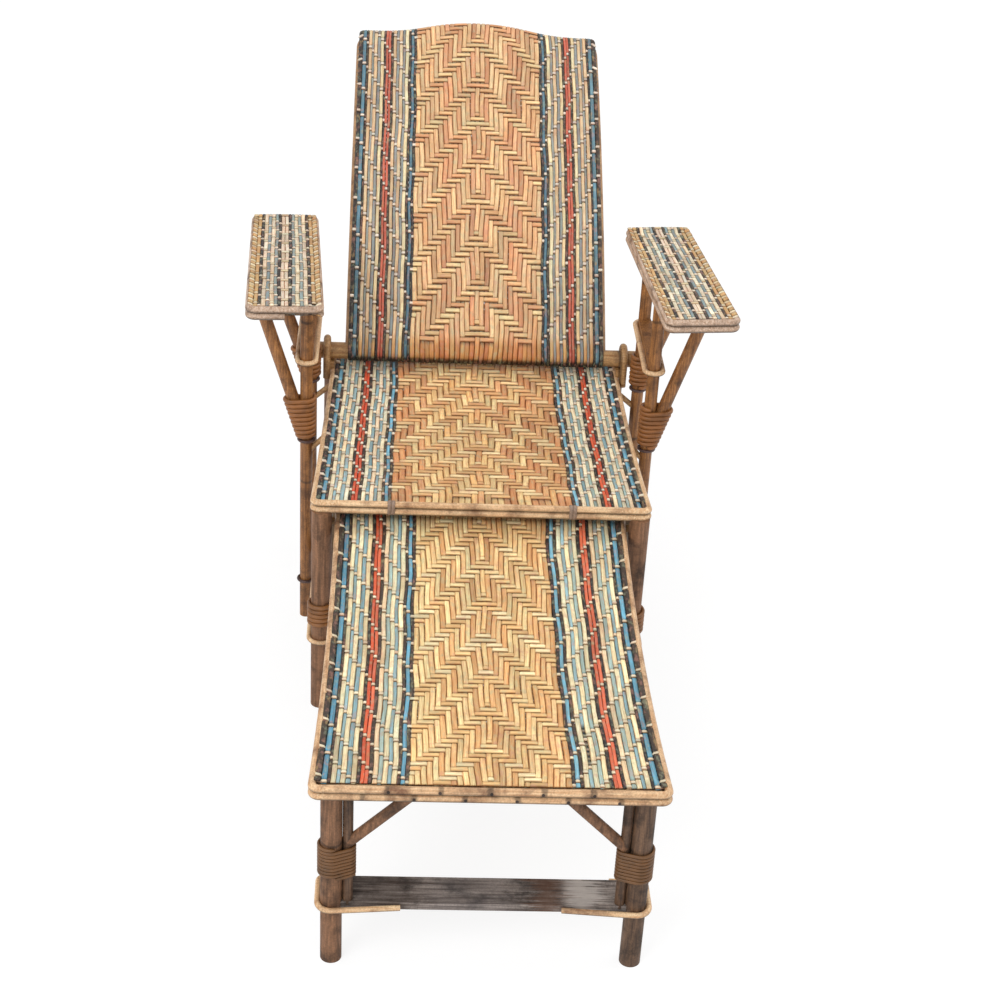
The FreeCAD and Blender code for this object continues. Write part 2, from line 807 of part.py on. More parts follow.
stile_x = half_back - stile_radius
frame_edges = crest(stile_x, size("back_corner"), size("back_corner"), over_stiles)
for side in (-1, 1):
    frame_edges.append(arc(on_back(side * stile_x, 0, 0),
                           on_back(side * stile_x, stile_length / 2, size("back_bulge")),
                           on_back(side * stile_x, stile_length, 0)))
subpart(cut(bent(frame_edges, "stile_diameter"), rod, hinge_bar), "back_frame")

# The woven sheet lies on the frame, within an outline square to the back
inner = stile_radius + size("rail_gap")
outer = inner + size("weave_thickness")
above_stiles = size("back_corner") + size("crest_height") + 2 * stile_radius


def off_crest(above, out):
    """A place above the stiles and out from the crest, on its slope."""
    return over_stiles(0, above) + (on_back(0, math.sin(crest_fall), math.cos(crest_fall))
                                    - pivot) * out


profile = Part.Wire([
    arc(on_back(0, 0, bulge(0, inner)),
        on_back(0, stile_length / 2, size("back_bulge") + inner), off_crest(0, inner)),
    line(off_crest(0, inner), off_crest(above_stiles, inner)),
    line(off_crest(above_stiles, inner), off_crest(above_stiles, outer)),
    line(off_crest(above_stiles, outer), off_crest(0, outer)),
    arc(off_crest(0, outer), on_back(0, stile_length / 2, size("back_bulge") + outer),
        on_back(0, 0, bulge(0, outer))),
    line(on_back(0, 0, bulge(0, outer)), on_back(0, 0, bulge(0, inner)))])
strip = Part.Face(profile)
strip.translate(Vector(-2 * half_back, 0, 0))
strip = strip.extrude(Vector(4 * half_back, 0, 0))


def under_back(x, above):
    return on_back(x, stile_length + above * math.cos(crest_fall), -size("back_length"))


outline_edges = crest(half_back, size("back_corner") + stile_radius,
                      size("back_corner") + stile_radius, under_back)
low_left = on_back(-half_back, 0, -size("back_length"))
low_right = on_back(half_back, 0, -size("back_length"))
outline_edges.append(line(under_back(-half_back, 0), low_left))
outline_edges.append(line(low_left, low_right))
outline_edges.append(line(low_right, under_back(half_back, 0)))
outline = Part.Face(Part.Wire(Part.__sortEdges__(outline_edges)))
out = on_back(0, 0, 2 * size("back_length")) - pivot
back_sheet = document.addObject("Part::MultiCommon", "back_sheet")
back_sheet.Shapes = [solid(strip), solid(outline.extrude(out))]
subpart(cut(back_sheet, rod), "back_weave")

# Hoops that hold the rod down, and the pads that it turns on
hoop_reach = size("rod_diameter") / 2 + size("rod_clearance") + size("hoop_diameter") / 2
pads = []
for side in (-1, 1):
    middle = pivot + Vector(side * hoop_x, 0, 0)
    before = middle + Vector(0, -hoop_reach, 0)
    behind = middle + Vector(0, hoop_reach, 0)
    foot = Vector(0, 0, leg_top - rod_z)
    subpart(bent([line(before + foot, before),
                  arc(before, middle + Vector(0, 0, hoop_reach), behind),
                  line(behind, behind + foot)], "hoop_diameter"),
            f"rod_hoop_{side_name(side)}")
    half_pad = size("rod_pad_length") / 2
    across = sorted((side * (half_seat(rod_behind) - rim / 2),
                     side * (hoop_x - size("hoop_diameter") / 2)))
    raw = block(across, (pivot.y - half_pad, pivot.y + half_pad),
                (size("seat_height") - rim / 2,
                 rod_z - size("rod_diameter") / 2 - size("rod_clearance")))
    pads.append(cut(raw, seat_rim_upper))
subpart(group(pads), "rod_pads")

# Prop: two poles that turn on the hinge bar, and a foot bar

hinge = on_back(0, bar_up, bar_out)
rack_top = rod_z
foot_z = (rack_top - size("notch_depth") + size("notch_lift")
          + size("foot_bar_diameter") / 2)


def prop_ends(angle):
    """The hinge bar, and the foot bar on the racks, when the back leans."""
    turned = Placement(pivot, Rotation(Vector(1, 0, 0), angle))
    top = turned.multVec(Vector(0, bar_up, bar_out))
    run = math.sqrt(size("prop_length") ** 2 - (top.z - foot_z) ** 2)
    return top, Vector(0, top.y + run, foot_z)


foot = prop_ends(size("back_angle"))[1]
foot_reach = half_back - size("rack_inset") + size("foot_bar_overhang")
foot_bar = subpart(pole(foot - Vector(foot_reach, 0, 0), foot + Vector(foot_reach, 0, 0),
                        "foot_bar_diameter"), "prop_foot_bar")
for side in (-1, 1):
    across = Vector(side * (half_back - size("prop_inset")), 0, 0)
    half_sleeve = Vector(size("sleeve_width") / 2, 0, 0)
    sleeve = pole(hinge + across - half_sleeve, hinge + across + half_sleeve,
                  "sleeve_diameter")
    bore = pole(hinge + across - half_sleeve * 2, hinge + across + half_sleeve * 2,
                "hinge_bar_diameter", " + sizes.pivot_clearance")
    prop = cut(join(sleeve, pole(hinge + across, foot + across, "prop_diameter")),
               bore, foot_bar)
    subpart(prop, f"prop_pole_{side_name(side)}")

# Notched racks behind the seat, on legs of their own
rack_front = place(0, size("seat_depth") + size("rear_board_thickness"), 0).y
rack_rear = foot.y + size("rack_tail")
rack_foot = board_top - size("rack_lap")
half_notch = size("foot_bar_diameter") / 2 + size("notch_clearance")
notch_floor = rack_top - size("notch_depth")
rack_outline = [(rack_front, rack_foot), (rack_rear, rack_foot), (rack_rear, rack_top)]
for count in range(int(size("notch_count"))):
    # A notch's rear wall stands square to the prop, so that the prop thrusts
    # against it and the foot bar can swing up along it
    top, low = prop_ends(size("back_angle") + count * size("notch_angle_step"))
    thrust = (low - top).normalize()
    wall = low + thrust * half_notch
    lean = -thrust.z / thrust.y
    rack_outline += [(wall.y + (rack_top - wall.z) * lean, rack_top),
                     (wall.y + (notch_floor - wall.z) * lean, notch_floor),
                     (low.y - half_notch, notch_floor), (low.y - half_notch, rack_top)]
rack_outline.append((rack_front, rack_top))
for side in (-1, 1):
    body = document.addObject("PartDesign::Body", "rack")
    plane = [item for item in body.Origin.OriginFeatures if item.Role == "YZ_Plane"][0]
    sketch = body.newObject("Sketcher::SketchObject", "rack_side")
    sketch.AttachmentSupport = [(plane, "")]
    sketch.MapMode = "FlatFace"
    corners = [Vector(y, z, 0) for y, z in rack_outline]
    for start, end in zip(corners, corners[1:] + corners[:1]):
        sketch.addGeometry(Part.LineSegment(start, end), False)
    for index, corner in enumerate(corners):
        sketch.addConstraint(Sketcher.Constraint("Coincident", index - 1 if index else
                                                 len(corners) - 1, 2, index, 1))
        sketch.addConstraint(Sketcher.Constraint("DistanceX", index, 1, corner.x))
        sketch.addConstraint(Sketcher.Constraint("DistanceY", index, 1, corner.y))
    pad = body.newObject("PartDesign::Pad", "rack_pad")
    pad.Profile = sketch
    pad.SideType = "Symmetric"
    bind(pad, Length="sizes.rack_width")
    body.Placement = Placement(Vector(side * (half_back - size("rack_inset")), 0, 0), Rotation())
    subpart(body, f"rack_{side_name(side)}")
rack_leg_y = rack_rear - size("rack_leg_inset")
rack_x = half_back - size("rack_inset")
rack_stand = [pole(Vector(side * rack_x, rack_leg_y, 0),
                   Vector(side * rack_x, rack_leg_y, rack_foot), "rack_leg_diameter")
              for side in (-1, 1)]
tie = pole(Vector(-rack_x, rack_leg_y, size("rack_tie_height")),
           Vector(rack_x, rack_leg_y, size("rack_tie_height")), "rack_tie_diameter")
subpart(group(rack_stand + [cut(tie, *rack_stand)]), "rack_stand")

# Arms. Each pad is turned a little in plan on two upright poles. Places are
# set out from the pad's middle: out is away from the seat, back to the rear

arm_x = half_seat_front + size("pole_clearance") + size("pole_inset")
pad_top = size("arm_height") - size("pad_drop")
pad_foot = pad_top - size("pad_thickness")
arm_rim = size("arm_rim_diameter")
pole_radius = size("pole_diameter") / 2
pole_out = -size("pole_inset")
ring_radius = size("ring_diameter") / 2
# The rear pole's winding stands just ahead of the rod
rear_pole_spot = (rod_behind - size("rod_diameter") / 2 - size("arm_rod_gap")
                  - size("winding_seat") - size("winding_diameter") - pole_radius)
arm_behind = rear_pole_spot - size("rear_pole_behind")


def on_arm(side, out, back, z):
    return place(side * (arm_x + out), arm_behind + back, z)


def round_cornered(side, margin, z):
    """The edges of a pad's outline, drawn in by margin and turned in plan.

    A pad is wider at its front end, and the two are not turned alike.
    """
    turn = Rotation(Vector(0, 0, 1), size("arm_skew") + side * size("arm_splay"))
    turned = Placement(on_arm(side, 0, 0, z), turn)
    half_rear = size("arm_width") / 2 - margin
    half_front = half_rear + size("arm_flare")
    half_y = size("arm_length") / 2 - margin
    corners = [turned.multVec(Vector(*spot, 0))
               for spot in ((-half_front, -half_y), (half_front, -half_y),
                            (half_rear, half_y), (-half_rear, half_y))]
    arcs = [corner_arc(corners[number - 1], corners[number], corners[(number + 1) % 4],
                       size("arm_corner")) for number in range(4)]
    edges = []
    for number, rounding in enumerate(arcs):
        following = arcs[(number + 1) % 4]
        edges.append(rounding)
        edges.append(line(rounding.Vertexes[1].Point, following.Vertexes[0].Point))
    return edges


def arm_rims_on(side):
    """The two canes round a pad. The left one's lower cane is broken off.

    It has lost the half of its front that lies towards the seat, and the
    corner beside it.
    """
    upper = round_cornered(side, arm_rim / 2, size("arm_height") - arm_rim / 2)
    lower = round_cornered(side, arm_rim / 2, size("arm_height") - 1.5 * arm_rim)
    if side < 0:
        near, far = lower[1].Vertexes[0].Point, lower[1].Vertexes[1].Point
        lower = lower[3:] + [lower[0], line(near, (near + far) / 2)]
    return bent(upper, "arm_rim_diameter"), bent(lower, "arm_rim_diameter")


rings = []
spacers = []
for side in (-1, 1):
    name = side_name(side)
    upper_rim, lower_rim = arm_rims_on(side)
    subpart(group([upper_rim, lower_rim]), f"arm_rims_{name}")
    outline = Part.Wire(round_cornered(side, arm_rim - size("weave_bite"), pad_top))
    pad = solid(Part.Face(outline).extrude(Vector(0, 0, -size("pad_thickness"))))
    subpart(cut(pad, upper_rim, lower_rim), f"arm_pad_{name}")
    middle = on_arm(side, 0, 0, 0)
    reach = size("arm_length")
    above = block((middle.x - reach, middle.x + reach), (middle.y - reach, middle.y + reach),
                  (pad_foot, pad_foot + reach))
    braces = []
    poles = []
    for spot, back, winding_drop, turns in (
            ("front", -size("front_pole_ahead"), size("front_arm_winding_drop"),
             size("front_arm_turns")),
            ("rear", size("rear_pole_behind"), size("rear_arm_winding_drop"),
             size("rear_arm_turns"))):
        winding_height = size("seat_height") - winding_drop
        upright_pole = pole(on_arm(side, pole_out, back, 0),
                            on_arm(side, pole_out, back, pad_foot), "pole_diameter")
        poles.append(upright_pole)
        subpart(cut(upright_pole, lower_rim), f"arm_pole_{spot}_{name}")

        # The brace leaves the pole at the foot of the winding and leans out
        brace_foot = winding_height + size("arm_brace_rise")
        slope = size("arm_brace_reach") / (pad_foot - brace_foot)
        past_pad = 2 * pole_radius
        brace = pole(on_arm(side, pole_out, back, brace_foot),
                     on_arm(side, pole_out + size("arm_brace_reach") + past_pad * slope, back,
                            pad_foot + past_pad), "pole_diameter")
        braces.append(cut(brace, upright_pole, above, lower_rim))

        def leaning(z, side=side, back=back, slope=slope, brace_foot=brace_foot):
            climb = max(z - brace_foot, pole_radius / 10)
            return on_arm(side, pole_out + slope * climb, back, z)

        def standing(z, side=side, back=back):
            return on_arm(side, pole_out, back, z)

        # A level cut through the leaning brace is wider than its diameter
        level_radius = pole_radius * math.hypot(1, slope)
        subpart(winding(standing, level_radius, leaning, level_radius, winding_height, turns),
                f"arm_winding_{spot}_{name}")

        heights = [winding_height - ring_radius - size("winding_seat")]
        if spot == "front":
            heights.append(size("low_ring_height"))
        for height in heights:
            ring = document.addObject("Part::Torus", "ring")
            bind(ring, Radius1="(sizes.pole_diameter + sizes.ring_diameter) / 2",
                 Radius2="sizes.ring_diameter / 2")
            ring.Placement = Placement(on_arm(side, pole_out, back, height), Rotation())
            rings.append(ring)

        # A spacer holds the pole off the seat's lower rim
        behind = arm_behind + back
        rim_z = size("seat_height") - 1.5 * rim - seat_sag(behind)
        spacer = pole(place(side * (half_seat(behind) - rim / 2), behind, rim_z),
                      on_arm(side, pole_out, back, rim_z - size("spacer_fall")),
                      "spacer_diameter")
        spacers.append(cut(spacer, seat_rim_lower, upright_pole))
    subpart(group(braces), f"arm_braces_{name}")

    # A flat spreader between the poles lies on a cane loop round both
    front_spot = on_arm(side, pole_out, -size("front_pole_ahead"), size("spreader_height"))
    rear_spot = on_arm(side, pole_out, size("rear_pole_behind"), size("spreader_height"))
    loop_diameter = size("spreader_loop_diameter")
    cane_loops.append(bent(race_track(front_spot, rear_spot, pole_radius + loop_diameter / 2),
                           "spreader_loop_diameter"))
    spreader = document.addObject("Part::Box", "spreader")
    bind(spreader, Length="sizes.pole_diameter",
         Width="sizes.front_pole_ahead + sizes.rear_pole_behind",
         Height="sizes.spreader_thickness")
    spreader.Placement = Placement(front_spot + Vector(-pole_radius, 0, loop_diameter / 2),
                                   Rotation())
    subpart(cut(spreader, *poles), f"arm_spreader_{name}")
subpart(group(cane_loops), "cane_loops")
subpart(group(rings), "pole_rings")
subpart(group(spacers), "pole_spacers")

# Everything is checked before it is written

document.recompute()
for feature in document.Objects:
    if "Invalid" in feature.State or "Error" in feature.State:
        raise RuntimeError(f"{feature.Name} {feature.Label} failed")
for feature in subparts:
    if feature.Shape.isNull() or not feature.Shape.isValid() or feature.Shape.Volume <= 0:
        raise RuntimeError(f"{feature.Label} has no sound shape")
os.makedirs("parts", exist_ok=True)
for feature in subparts:
    feature.Shape.exportStep(f"parts/{feature.Label}.step")
print(len(subparts), "sub-parts written")
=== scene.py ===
import bpy
import numpy as np
from mathutils import Matrix


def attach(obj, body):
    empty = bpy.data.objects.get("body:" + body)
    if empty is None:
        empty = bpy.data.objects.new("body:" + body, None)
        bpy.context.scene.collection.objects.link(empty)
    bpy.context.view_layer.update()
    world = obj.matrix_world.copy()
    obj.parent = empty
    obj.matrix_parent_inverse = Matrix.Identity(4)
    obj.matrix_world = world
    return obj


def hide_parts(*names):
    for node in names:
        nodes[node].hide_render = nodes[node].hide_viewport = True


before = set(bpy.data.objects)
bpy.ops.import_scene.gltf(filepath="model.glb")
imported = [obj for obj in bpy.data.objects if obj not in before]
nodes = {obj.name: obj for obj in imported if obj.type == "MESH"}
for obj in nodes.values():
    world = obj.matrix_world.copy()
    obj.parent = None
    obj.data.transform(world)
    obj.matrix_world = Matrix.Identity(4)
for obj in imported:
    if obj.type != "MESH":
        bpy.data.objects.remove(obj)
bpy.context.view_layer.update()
scene = bpy.context.scene
scene.view_settings.view_transform = "Standard"

# Camera. It stands in front of the leg rest, above the height of the back's
# top, and looks down along the chair with a little turn and tilt.
lens_place = np.array([-0.1431, -2.8862, 1.9404])
turn, look_down, lean = 0.062, 0.528, 0.058
ahead = np.array([np.sin(turn) * np.cos(look_down), np.cos(turn) * np.cos(look_down),
                  -np.sin(look_down)])
level_right = np.array([np.cos(turn), -np.sin(turn), 0.0])
level_up = np.cross(level_right, ahead)
picture_right = np.cos(lean) * level_right + np.sin(lean) * level_up
picture_up = -np.sin(lean) * level_right + np.cos(lean) * level_up
camera = bpy.data.objects.new("camera", bpy.data.cameras.new("camera"))
scene.collection.objects.link(camera)
camera.data.lens = 73.88
camera.data.sensor_width = 36.0
camera.data.clip_end = 60.0
camera.matrix_world = Matrix([[*axes, at] for *axes, at in zip(
    picture_right, picture_up, -ahead, lens_place)] + [[0, 0, 0, 1]])
scene.camera = camera


# Floor, sky and lamps. The floor is plain white and keeps the chair's soft
# shadow. Two wide lamps and the sky light every colour about as it is written.
def linear(code):
    """A hex sRGB colour as linear red, green, blue and full alpha."""
    value = np.array([int(code[place:place + 2], 16) for place in (1, 3, 5)]) / 255
    low, high = value / 12.92, ((value + 0.055) / 1.055) ** 2.4
    return (*np.where(value <= 0.04045, low, high), 1.0)


def bare_finish(name):
    """A new material and its node tree, with no nodes yet."""
    made = bpy.data.materials.new(name)
    made.use_nodes = True
    made.node_tree.nodes.clear()
    return made, made.node_tree


def add(tree, kind, inputs=None, **settings):
    """Adds a node, sets its properties, and fills or links its inputs. An input
    given as a node is linked to the first of its outputs that is in use."""
    made = tree.nodes.new(kind)
    for name, value in settings.items():
        setattr(made, name, value)
    for name, value in (inputs or {}).items():
        if isinstance(value, bpy.types.Node):
            value = next(output for output in value.outputs if output.enabled)
        if isinstance(value, bpy.types.NodeSocket):
            tree.links.new(value, made.inputs[name])
        else:
            made.inputs[name].default_value = value
    return made


floor_mesh = bpy.data.meshes.new("floor")
floor_reach = 9
floor_mesh.from_pydata([(x * floor_reach, y * floor_reach, 0)
                        for x, y in ((-1, -1), (1, -1), (1, 1), (-1, 1))], [], [(0, 1, 2, 3)])
floor = bpy.data.objects.new("floor", floor_mesh)
scene.collection.objects.link(floor)
white_floor, tree = bare_finish("white_floor")
path = add(tree, "ShaderNodeLightPath")
seen = add(tree, "ShaderNodeMath", {
    0: path.outputs["Is Camera Ray"], 1: path.outputs["Is Glossy Ray"]}, operation="MAXIMUM")
seen = add(tree, "ShaderNodeMath", {
    0: seen, 1: path.outputs["Is Transmission Ray"]}, operation="MAXIMUM")
share = add(tree, "ShaderNodeMath", {0: seen, 1: 0.72}, operation="MULTIPLY")
matte = add(tree, "ShaderNodeBsdfDiffuse", {"Color": linear("#F4F4F4")})
glow = add(tree, "ShaderNodeEmission", {"Color": linear("#FFFFFF"), "Strength": 1.12})
both = add(tree, "ShaderNodeMixShader", {0: share, 1: matte, 2: glow})
add(tree, "ShaderNodeOutputMaterial", {"Surface": both})
floor_mesh.materials.append(white_floor)

sky = bpy.data.worlds.new("sky")
scene.world = sky
sky.use_nodes = True
tree = sky.node_tree
tree.nodes.clear()
path = add(tree, "ShaderNodeLightPath")
seen = add(tree, "ShaderNodeMath", {
    0: path.outputs["Is Camera Ray"], 1: path.outputs["Is Transmission Ray"]}, operation="MAXIMUM")
lit = add(tree, "ShaderNodeBackground", {"Color": linear("#FFFFFF"), "Strength": 0.80})
shown = add(tree, "ShaderNodeBackground", {"Color": linear("#FFFFFF"), "Strength": 1.0})
both = add(tree, "ShaderNodeMixShader", {0: seen, 1: lit, 2: shown})
add(tree, "ShaderNodeOutputWorld", {"Surface": both})

lamp_aim = np.array([0, 0, 0.4])
for name, spot, power, breadth in (("wide_lamp_left", (-2.2, -2.9, 3.0), 70, 2.2),
                                   ("wide_lamp_right", (2.6, 0.4, 2.8), 26, 2.0)):
    lamp = bpy.data.objects.new(name, bpy.data.lights.new(name, "AREA"))
    scene.collection.objects.link(lamp)
    lamp.data.energy = power
    lamp.data.size = breadth
    back_along = np.array(spot, float) - lamp_aim
    back_along /= np.linalg.norm(back_along)
    sideways = np.cross((0, 0, 1), back_along)
    sideways /= np.linalg.norm(sideways)
    lamp.matrix_world = Matrix([[*axes, at] for *axes, at in zip(
        sideways, np.cross(back_along, sideways), back_along, spot)] + [[0, 0, 0, 1]])


# Back: its woven panel. Strands of split cane run up from the rod and over the
# bent crest, a band of dyed ones at each side. Narrower strands cross them in
# rows, over three and under five, and make chevrons, or small ticks in a band.
def skin(name, points, quads, tint=None, chart=None):
    """A mesh from arrays: corner places, four-cornered faces, and for each
    corner a colour and a place on the strand in metres."""
    mesh = bpy.data.meshes.new(name)
    mesh.vertices.add(len(points))
    mesh.vertices.foreach_set("co", np.ascontiguousarray(points, dtype=np.float32).ravel())
    mesh.loops.add(quads.size)
    mesh.loops.foreach_set("vertex_index", quads.astype(np.int32).ravel())
    mesh.polygons.add(len(quads))
    mesh.polygons.foreach_set("loop_start", np.arange(0, quads.size, 4, dtype=np.int32))
    mesh.polygons.foreach_set("use_smooth", np.ones(len(quads), dtype=bool))
    if tint is not None:
        colour = mesh.color_attributes.new("tint", "FLOAT_COLOR", "POINT")
        colour.data.foreach_set("color", tint.astype(np.float32).ravel())
    if chart is not None:
        chart_layer = mesh.uv_layers.new(name="along_strand")
        chart_layer.data.foreach_set("uv", chart[quads.ravel()].astype(np.float32).ravel())
    mesh.update(calc_edges=True)
    mesh.validate()
    piece = bpy.data.objects.new(name, mesh)
    scene.collection.objects.link(piece)
    return piece


def carried(centre, sideways, outward, across, up):
    """A closed profile carried along many paths at once.

    centre, sideways and outward are (stations, strands, 3). across and up are
    (stations, strands, profile points), in metres. A corner lies at centre +
    sideways * across + outward * up. Both ends are closed by quads.
    """
    stations, strands, sides = across.shape
    points = (centre[:, :, None] + sideways[:, :, None] * across[..., None]
              + outward[:, :, None] * up[..., None])
    index = np.arange(stations * strands * sides).reshape(stations, strands, sides)
    following = np.roll(index, -1, axis=2)
    walls = np.stack([index[:-1], following[:-1], following[1:], index[1:]], -1).reshape(-1, 4)
    ends = []
    for ring, order in ((index[0], (3, 2, 1, 0)), (index[-1], (0, 1, 2, 3))):
        for first in range(0, sides - 2, 2):
            corners = ring[:, [0, first + 1, first + 2, (first + 3) % sides]]
            ends.append(corners[:, order])
    return points.reshape(-1, 3), np.concatenate([walls] + ends)


def panel_ways(surface, across, along):
    """Unit vectors onward along a panel, across it and out of it, and how many
    metres one unit of across spans. They come from places a little apart."""
    flat, step_along, step_across = 0 * across, 0.0005, 0.002
    onward = (surface(across, along + step_along, flat)
              - surface(across, along - step_along, flat))
    abreast = (surface(across + step_across, along, flat)
               - surface(across - step_across, along, flat))
    span = np.linalg.norm(abreast, axis=2) / (2 * step_across)
    ways = [way / np.linalg.norm(way, axis=2, keepdims=True)
            for way in (onward, abreast, np.cross(abreast, onward))]
    return (*ways, span)


def flat_strands(name, centre, sideways, outward, width, profile, thickness, colour, dyed, along):
    """Flat strands along paths. profile places the four corners across, as
    shares of the width: the lower two at the edges and the upper two between.
    dyed is how far a strand is dyed, and along the place on it in metres."""
    profile_up = thickness * np.array([-0.46, 0.5, 0.5, -0.46])
    across = width[..., None] * profile
    points, quads = carried(centre, sideways, outward, across,
                            np.broadcast_to(profile_up, across.shape))
    tint = np.empty(across.shape + (4,))
    tint[..., :3] = colour
    tint[..., 3] = dyed
    chart = np.empty(across.shape + (2,))
    chart[..., 0] = across + np.arange(width.shape[1])[None, :, None] * 0.05
    chart[..., 1] = along[..., None]
    return skin(name, points, quads, tint.reshape(-1, 4), chart.reshape(-1, 2))


def woven(name, surface, columns, rows, row_step, weft_over, warp_span, warp_colour,
          weft_colour, ticks, weft_width, strand_sizes, seed, broken=(), push=None,
          painted_light_and_shade=None, browned=None):
    """The lengthwise strands and the crossing rows of one panel.

    surface(across, along, height) gives a place: across from -1 to 1, along
    in metres, height out from the panel's middle. strand_sizes are a strand's
    rise where it lies over a row, which it sinks by under one, its thickness,
    and how far it strays sideways. A row stands the other way, and where over
    turns to under both pass through 0 midway. ticks gives the colour of the
    rows in the bands, the band's share of the half width, and how wide a row
    is there against the middle. broken lists strands with the stretch that is
    missing. push is how far, in metres inward, a strand stands aside at each
    crossing. painted_light_and_shade gives stations along the panel and a
    factor on the colour there: painted light above 1, painted shade below 1.
    browned gives how far varnish has browned the undyed strands there. The
    colours also carry painted shade where strands and rows lie low, and along
    their edges.
    """
    chance = np.random.default_rng(seed)
    rise, thickness, wander = strand_sizes
    sign = np.where(weft_over, -1.0, 1.0)
    row_count, strand_count = sign.shape
    tick_code, band_share, tick_width_share = ticks
    undyed = warp_colour[:, 3] < 0.5
    # Heights of a strand past the last row and where it is broken, in rises
    loose, sunk = 0.2, -2.2

    # Stations of the lengthwise strands: two by each row and one between rows
    reach, free_step = 0.37 * row_step, 0.004
    before = np.arange(warp_span[0], rows[0] - row_step, free_step)
    after = np.append(np.arange(rows[-1] + row_step, warp_span[1], free_step), warp_span[1])
    midway = np.append((rows[:-1] + rows[1:]) / 2, rows[-1] + row_step / 2)
    between = np.concatenate([(sign[:-1] + sign[1:]) / 2, np.full((1, strand_count), loose)])
    along = np.concatenate([
        before, np.stack([rows - reach, rows + reach, midway], 1).ravel(), after])
    height = np.concatenate([
        np.full((len(before), strand_count), loose),
        np.stack([sign, sign, between], 1).reshape(-1, strand_count),
        np.full((len(after), strand_count), loose)])

    # Each visible stretch of a strand has its own tone and hue
    floats = np.cumsum(weft_over, axis=0)
    nearest = np.clip(np.searchsorted(rows, along - row_step / 2), 0, row_count - 1)
    tone = chance.normal(1.0, 0.11, (row_count + 1, strand_count))
    tone = np.take_along_axis(tone, floats[nearest], axis=0)
    hue = chance.normal(0, 1, (row_count + 1, strand_count)) * undyed
    hue = np.take_along_axis(hue, floats[nearest], axis=0)
    hue = 1 + hue[..., None] * np.array([0.01, -0.025, -0.06])
    middle = (columns[:-1] + columns[1:]) / 2
    across = middle + 0 * height
    lengthwise = along[:, None] + 0 * height
    for strand, low, high in broken:
        height[(along > low) & (along < high), strand] = sunk
    drift = chance.normal(0, 1, (len(along), strand_count))
    drift = np.cumsum(drift - drift.mean(0), axis=0)
    drift = drift / np.abs(drift).max(0) * wander
    if push is not None:
        aside = np.stack([np.interp(along, rows, push[:, strand])
                          for strand in range(strand_count)], 1)
        drift = drift + aside * -np.sign(middle)
    heading, _, outward, span = panel_ways(surface, across, lengthwise)
    sideways = np.cross(heading, outward)
    centre = surface(across, lengthwise, height * rise) + sideways * drift[..., None]
    # Strands are 0.7 mm wider than their room, so that no light leaks between
    width = (columns[1:] - columns[:-1]) * span + 0.0007
    banded = ~undyed | (np.abs(middle) > 1 - band_share)
    # Painted shade: a strand is darker the lower it lies, under a row or sunk; less in the bands
    levels = [-2, -1, 0, loose, 1]
    shade = np.where(banded, np.interp(height, levels, [0.1, 0.6, 0.8, 0.9, 1.0]),
                     np.interp(height, levels, [0.1, 0.3, 0.58, 0.85, 1.0])) * tone
    if painted_light_and_shade is not None:
        shade = shade * np.interp(along, *painted_light_and_shade)[:, None]
    # Painted shade along both edges of each strand: brown on undyed cane, grey on dyed
    edge = np.where(undyed[:, None], [0.60, 0.44, 0.30], [0.42, 0.42, 0.42])
    at_edge = np.array([1.0, 0.0, 0.0, 1.0])[None, :, None]
    edge = at_edge * edge[:, None] + (1 - at_edge)
    colour = (warp_colour[None, :, None, :3] * shade[..., None, None] * edge[None]
              * hue[:, :, None])
    if browned is not None:
        share = np.interp(along, *browned)[:, None] * undyed
        colour = colour * (1 - share[..., None, None] * np.array([0.16, 0.38, 0.62]))
    warps = flat_strands(name + "_strands", centre, sideways, outward, width,
                         np.array([-0.5, -0.29, 0.29, 0.5]), thickness, colour,
                         warp_colour[None, :, None, 3],
                         lengthwise + chance.random(strand_count) * 3)

    # Stations of the rows: two on each lengthwise strand and one between two
    inset = 0.22 * (columns[1:] - columns[:-1])
    inner = np.stack([columns[:-1] + inset, columns[1:] - inset, columns[1:]], 1)
    stations = np.append(columns[0], inner.ravel())
    level = -sign
    between = np.concatenate([(level[:, :-1] + level[:, 1:]) / 2, level[:, -1:]], 1)
    height = np.stack([level, level, between], 2).reshape(row_count, -1)
    height = np.concatenate([level[:, :1], height], 1).T
    floats = np.cumsum(~weft_over, axis=1)
    nearest = np.clip(np.searchsorted(columns, stations - 1e-6) - 1, 0, strand_count - 1)
    tone = chance.normal(1.0, 0.10, (row_count, strand_count + 1))
    tone = np.take_along_axis(tone, floats, axis=1)[:, nearest].T
    shift = chance.normal(0, 0.0004, (row_count, 9))
    shift = np.stack([np.interp(stations, np.linspace(-1, 1, 9), each) for each in shift], 1)
    lengthwise = rows + shift
    across = stations[:, None] + 0 * height
    centre = surface(across, lengthwise, height * rise)
    _, heading, outward, _ = panel_ways(surface, across, lengthwise)
    tick = ~undyed[nearest] | (np.abs(stations) > 1 - band_share)
    widths = weft_width * chance.normal(1.0, 0.05, row_count)
    width = widths * np.where(tick, tick_width_share, 1.0)[:, None]
    # Painted shade: a row is darker where it passes under a strand
    shade = np.interp(height, [-1, 0, 1], [0.3, 0.66, 1.0]) * tone
    if painted_light_and_shade is not None:
        shade = shade * np.interp(rows, *painted_light_and_shade)
    colour = np.where(tick[:, None, None], linear(tick_code)[:3], weft_colour[None, :, :3])
    # Painted shadow along a row's lower edge, and faint painted shade along its upper edge
    edge = np.array([[0.86, 0.84, 0.8], [1, 1, 1], [1, 1, 1], [0.40, 0.24, 0.14]])
